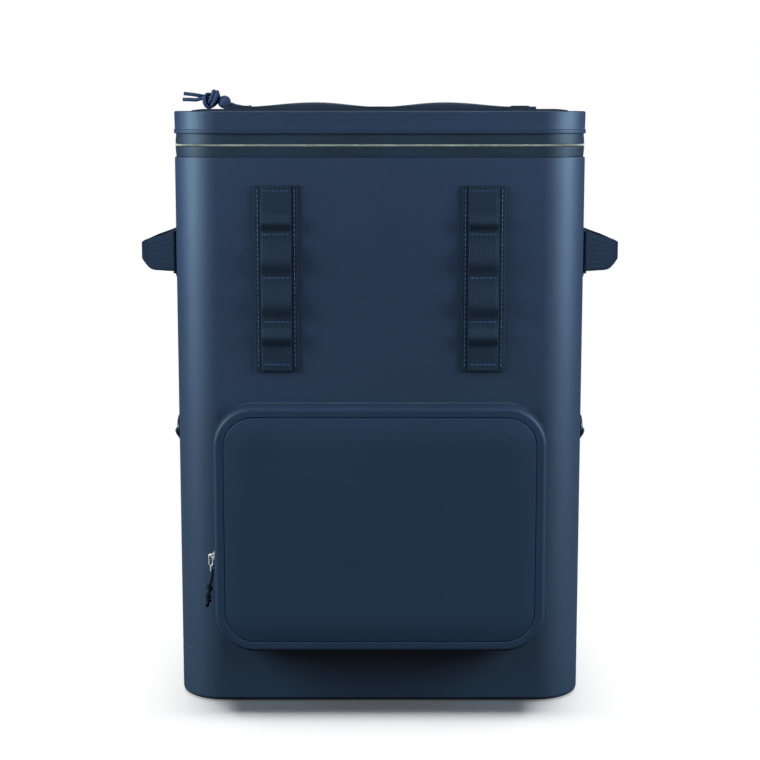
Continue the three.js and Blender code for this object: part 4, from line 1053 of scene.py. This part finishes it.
handle = {"seat": 0.1836, "reach": 0.2207, "span": 0.1, "foot": 0.022, "low": 0.3831,
          "width": 0.0381, "layer": 0.0016, "patch": (0.1815, 0.1825), "patchHalf": 0.071,
          "patchHeight": (0.3802, 0.4242), "patchCorner": 0.004, "patchEdge": 0.0003,
          "stitch": (0.0028, 0.0008, 0.0006), "stitchPitch": 0.0038, "stitchIn": 0.003, "stitchEnd": 0.0025,
          "rows": [(0, 1, 0, 1, 1), (0.06, 0.93, 0, 1, 1), (0.4, 0.78, 0, 0.87, 1.1), (0.74, 0.6, 0.02, 0.76, 1.4),
                   (0.96, 0.38, 0.2, 0.67, 2.2), (1, 0.16, 0.22, 0.66, 2.6), (1, 0, 0.22, 0.66, 2.6)]}


def smoothRows(rows, steps):
    # rows of numbers, eased between the given ones
    found = []
    for i in range(len(rows) - 1):
        around = (rows[max(i - 1, 0)], rows[i], rows[i + 1], rows[min(i + 2, len(rows) - 1)])
        found += [[eased(*column, j / steps) for column in zip(*around)] for j in range(steps)]
    return [*found, list(rows[-1])]


def makeHandle(side, sign):
    reach = handle["reach"] - handle["seat"] - handle["layer"] * handle["rows"][-1][4] / 2
    half = []
    for out, along, low, high, fold in smoothRows(handle["rows"], 5):
        half.append([handle["seat"] + out * reach, -along * handle["span"] / 2, low, high, fold])
    first = half[0]
    front = [[first[0], first[1] - handle["foot"] * share, *first[2:]] for share in (1, 0.75, 0.5, 0.25)] + half
    whole = front + [[row[0], -row[1], *row[2:]] for row in reversed(front[:-1])]
    rings = []
    for i, (x, y, low, high, fold) in enumerate(whole):
        before, after = whole[max(i - 1, 0)], whole[min(i + 1, len(whole) - 1)]
        run = Vector((after[0] - before[0], after[1] - before[1], 0)).normalized()
        out = Vector((run.y, -run.x, 0))
        bottom, top = (handle["low"] + share * handle["width"] for share in (low, high))
        thick = fold * handle["layer"]
        middle = Vector((x, y, (bottom + top) / 2))
        rings.append([Vector((p.x * sign, p.y, p.z)) for p in (
            middle + Vector((0, 0, 1)) * a + out * b
            for a, b in flatSection(top - bottom, thick, min(softEdge * fold, thick * 0.45), 8))])
    piece = loftPiece("handle" + side, rings)
    dressPiece(piece, handleWebbing, "webbing", "handle_" + side.lower())
    faces = sorted(sign * x for x in handle["patch"])
    patch = boxPiece("handlePatch" + side, (faces[0], -handle["patchHalf"], handle["patchHeight"][0]),
                     (faces[1], handle["patchHalf"], handle["patchHeight"][1]))
    bevelEdges(patch, edgesAlong(0), handle["patchCorner"], 4)
    bevelEdges(patch, lambda e: True, handle["patchEdge"], 1)
    boxUv(patch)
    dressPiece(patch, handleWebbing, "webbing", "handle_patch_" + side.lower())
    rows = []
    face = sign * (handle["seat"] + handle["layer"] / 2)
    for end in (-1, 1):
        near = end * (handle["span"] / 2 + handle["stitchIn"])
        far = end * (handle["span"] / 2 + handle["foot"] - handle["stitchEnd"])
        low, high = handle["low"] + handle["stitchIn"], handle["low"] + handle["width"] - handle["stitchIn"]
        corners = [(face, near, low), (face, far, low), (face, far, high), (face, near, high)]
        for a, b in ((0, 1), (1, 2), (2, 3), (3, 0), (0, 2), (1, 3)):  # a box with its two diagonals
            rows += stitchLine(corners[a], corners[b], (sign, 0, 0), handle["stitchPitch"])
    stitches = repeatAt("handleStitches" + side, stitchShape(*handle["stitch"]), rows)
    dressPiece(stitches, stitchThread, "webbing", angle=60)


for side, sign in sides:
    makeHandle(side, sign)
print("handles done")


sideRing = {"wire": 0.0034, "height": 0.2352, "forward": -0.03, "tabWidth": 0.024, "tabLength": 0.0085,
            "tabThickness": 0.0018, "pinch": 0.0026, "tuck": 0.0014}
for side, sign in sides:
    thick, forward, height = sideRing["tabThickness"], sideRing["forward"], sideRing["height"]
    bore, tabEnd = sideRing["wire"] / 2 + hairline, height - sideRing["tabLength"]
    reach = bore + thick / 2
    barX = sign * (body["halfX"] + hairline + bore + thick)
    wallX = barX - sign * reach
    line = [(wallX, forward, tabEnd)]  # up from the wall, round the ring's bar and down again
    for i in range(13):
        angle = math.pi - i / 12 * math.pi
        line.append((barX + sign * reach * math.cos(angle), forward, height + reach * math.sin(angle)))
    line += [(barX + sign * reach * 0.75, forward, height - sideRing["pinch"]),
             (wallX + sign * thick * 1.1, forward, tabEnd + sideRing["tuck"]), (wallX + sign * thick, forward, tabEnd)]
    tab = bandPiece("ringTab" + side, line, sideRing["tabWidth"], thick * 0.96, (0, 1, 0))
    dressPiece(tab, coatedNylon, "coated_fabric", "ring_tab_" + side.lower(), angle=50)
    low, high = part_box("side_ring_" + side.lower())
    halfY, halfZ = (high[1] - low[1] - sideRing["wire"]) / 2, (high[2] - low[2] - sideRing["wire"]) / 2
    middle = (Vector(low) + Vector(high)) / 2
    points = []
    for i in range(33):  # a D: round at the top, straight along its lower bar
        angle = math.pi * i / 32
        points.append(middle + Vector((0, halfY * math.cos(angle), -halfZ + 2 * halfZ * math.sin(angle) ** 0.8)))
    points += [middle + Vector((0, -halfY * (1 - i / 6), -halfZ)) for i in range(1, 12)]
    dRing = makeTube("sideRing" + side, points, sideRing["wire"], 14, (1, 0, 0), closed=True)
    dressPiece(dRing, gunmetalWire, "ring_metal", "side_ring_" + side.lower(), angle=60)
print("side rings done")


backPad = {"halfX": 0.125, "low": 0.085, "high": 0.4304, "plane": (0.1128, 0.1168), "top": 0.1248, "radius": 0.03,
           "cushions": [("cushionLumbar", (-0.115, 0.095), (0.115, 0.1756)),
                        ("cushionLeft", (-0.115, 0.2016), (-0.013, 0.4204)),
                        ("cushionRight", (0.013, 0.2016), (0.115, 0.4204))],
           "edge": 0.0015, "cushionRadius": 0.02, "cushionEdge": 0.004, "voxel": 0.004, "frames": 20, "pressure": 4.0,
           "cap": 0.005, "seam": 0.006, "sunk": 0.002}
plate = roundedBox("backPadPlate", (-backPad["halfX"], backPad["plane"][0], backPad["low"]),
                   (backPad["halfX"], backPad["plane"][1], backPad["high"]),
                   1, (backPad["radius"], 8), (backPad["edge"], 3))
boxUv(plate)
dressPiece(plate, airMesh, "mesh_fabric", "back_pad")
for name, low, high in backPad["cushions"]:
    cushion = roundedBox(name, (low[0], backPad["plane"][1] - backPad["sunk"], low[1]),
                         (high[0], backPad["top"] - backPad["sunk"], high[1]),
                         1, (backPad["cushionRadius"], 8), (backPad["cushionEdge"], 3))
    modifier = cushion.modifiers.new("remesh", "REMESH")
    modifier.mode = "VOXEL"
    modifier.voxel_size = backPad["voxel"]
    applyModifiers(cushion)
    before = [v.co.copy() for v in cushion.data.vertices]
    cloth = cushion.modifiers.new("swell", "CLOTH")
    cloth.settings.use_pressure = True
    cloth.settings.uniform_pressure_force = backPad["pressure"]
    cloth.settings.effector_weights.gravity = 0
    for step in range(1, backPad["frames"] + 1):
        bpy.context.scene.frame_set(step)
    applyModifiers(cushion)
    bpy.context.scene.frame_set(1)
    for vertex, start in zip(cushion.data.vertices, before):  # the swelling ends where the pad is sewn
        move = vertex.co - start
        limit = backPad["cap"] * min(1, max(0, (start.y - backPad["plane"][1]) / backPad["seam"]))
        if move.length > limit:
            move *= limit / move.length
        vertex.co = start + move
    smooth = cushion.modifiers.new("smooth", "SUBSURF")
    smooth.levels = smooth.render_levels = 1
    applyModifiers(cushion)
    boxUv(cushion)
    dressPiece(cushion, airMesh, "mesh_fabric", angle=60)
print("back pad done")


shoulder = {"half": 0.062, "splay": 0.035, "seat": 0.1173, "standoff": 0.056, "start": 0.4707, "end": 0.1653,
            "width": 0.064, "thickness": 0.012, "binding": 0.0034, "bindingIn": 0.0012, "yokeCorner": 0.008,
            "yokeEdge": 0.003,
            "rows": [(1, 0, 0, 0.8, 0.6), (1.01, 0, 0, 0.82, 0.66), (1.022, 0.02, 0, 0.84, 0.72),
                     (1.042, 0.12, 0.01, 0.88, 0.86), (1.052, 0.32, 0.03, 0.94, 1), (1.02, 0.62, 0.06, 1, 1),
                     (0.9, 0.86, 0.14, 1, 1), (0.7, 1, 0.32, 1, 1), (0.45, 0.97, 0.6, 0.94, 1),
                     (0.2, 0.84, 0.86, 0.8, 0.95), (0.06, 0.72, 0.97, 0.62, 0.8), (0.015, 0.68, 1, 0.54, 0.56),
                     (0, 0.68, 1, 0.52, 0.5)]}
yoke = roundedBox("strapYoke", *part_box("strap_yoke"), 1, (shoulder["yokeCorner"], 5), (shoulder["yokeEdge"], 4))
boxUv(yoke)
dressPiece(yoke, coatedNylon, "coated_fabric", "strap_yoke")


def padSection(width, thickness):
    # a padded strap's section: crowned faces and a full edge
    ring = []
    for i in range(28):
        angle = 2 * math.pi * i / 28
        a, b = math.cos(angle), math.sin(angle)
        ring.append((width / 2 * math.copysign(abs(a) ** 0.45, a), thickness / 2 * math.copysign(abs(b) ** 0.6, b)))
    return ring


for side, sign in sides:
    stations = []
    for height, behind, across, width, thick in smoothRows(shoulder["rows"], 5):
        stations.append((Vector((sign * (shoulder["half"] + across * shoulder["splay"]),
                                 shoulder["seat"] + behind * shoulder["standoff"],
                                 shoulder["end"] + height * (shoulder["start"] - shoulder["end"]))),
                         width * shoulder["width"], thick * shoulder["thickness"]))
    rings, edges = [], {-1: [], 1: []}
    for (middle, width, thick), ahead in zip(stations, headings([station[0] for station in stations])):
        up = ahead.cross(Vector((1, 0, 0))).normalized()
        across = up.cross(ahead).normalized()
        rings.append([middle + across * a + up * b for a, b in padSection(width, thick)])
        for end in (-1, 1):
            edges[end].append(middle + across * end * (width / 2 - shoulder["bindingIn"]))
    strap = loftPiece("shoulderStrap" + side, rings)
    dressPiece(strap, airMesh, "mesh_fabric", "shoulder_strap_" + side.lower(), angle=60)
    for end, name in ((-1, "Inner"), (1, "Outer")):
        binding = makeTube("strapBinding" + side + name, edges[end], shoulder["binding"], 10)
        dressPiece(binding, nylonWebbing, "webbing", angle=60)

adjuster = {"width": 0.024, "thickness": 0.0016, "lockX": 0.097, "lockY": 0.1554, "lockHeight": 0.135,
            "lockLength": 0.03, "lockThickness": 0.004, "bar": 0.004, "slot": 0.007,
            "anchorX": 0.132, "anchorY": 0.1148, "anchorTop": 0.062, "ease": 0.006, "bend": 0.001, "sag": 0.003,
            "tail": 0.062, "anchorCorner": 0.003, "anchorEdge": 0.001}
barTop = adjuster["lockHeight"] + adjuster["lockLength"] - adjuster["bar"] - adjuster["slot"]
run = adjuster["lockThickness"] / 2 + hairline + adjuster["thickness"] / 2
for side, sign in sides:
    lockX, lockY, top = adjuster["lockX"], adjuster["lockY"], adjuster["lockHeight"]
    anchorX, anchorY, anchorTop = adjuster["anchorX"], adjuster["anchorY"], adjuster["anchorTop"]
    line = [(anchorX, anchorY, anchorTop + hairline),
            (anchorX * 0.97 + lockX * 0.03, anchorY + adjuster["bend"], anchorTop + adjuster["ease"]),
            ((anchorX + lockX) / 2, (anchorY + lockY) / 2 - adjuster["sag"], (anchorTop + top) / 2),
            (lockX, lockY - run - adjuster["bend"], top - adjuster["ease"]),
            (lockX, lockY - run, top + adjuster["bar"] / 2),
            (lockX, lockY - run, barTop - adjuster["bend"])]
    for share in (0, 0.25, 0.5, 0.75, 1):  # over the lock's bar
        angle = share * math.pi
        line.append((lockX, lockY - run * math.cos(angle), barTop + run * math.sin(angle)))
    line += [(lockX, lockY + run, barTop - adjuster["bend"]), (lockX, lockY + run, top + adjuster["bar"] / 2),
             (lockX, lockY + run + adjuster["bend"], top - adjuster["tail"] * 0.5),
             (lockX, lockY + run, top - adjuster["tail"])]
    route = smoothRoute([(sign * x, y, z) for x, y, z in line], 3)
    webbing = bandPiece("adjusterWebbing" + side, route, adjuster["width"], adjuster["thickness"], (1, 0, 0))
    dressPiece(webbing, nylonWebbing, "webbing", "adjuster_webbing_" + side.lower())
    anchor = roundedBox("strapAnchor" + side, *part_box("strap_anchor_" + side.lower()),
                        1, (adjuster["anchorCorner"], 3), (adjuster["anchorEdge"], 2))
    boxUv(anchor)
    dressPiece(anchor, coatedNylon, "coated_fabric", "strap_anchor_" + side.lower())
for name in ("ladder_lock_left", "ladder_lock_right", "main_slider"):  # moulded parts that keep the CAD's own mesh
    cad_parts[name].data.materials.clear()
    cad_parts[name].data.materials.append(acetal)
print("shoulder straps done")
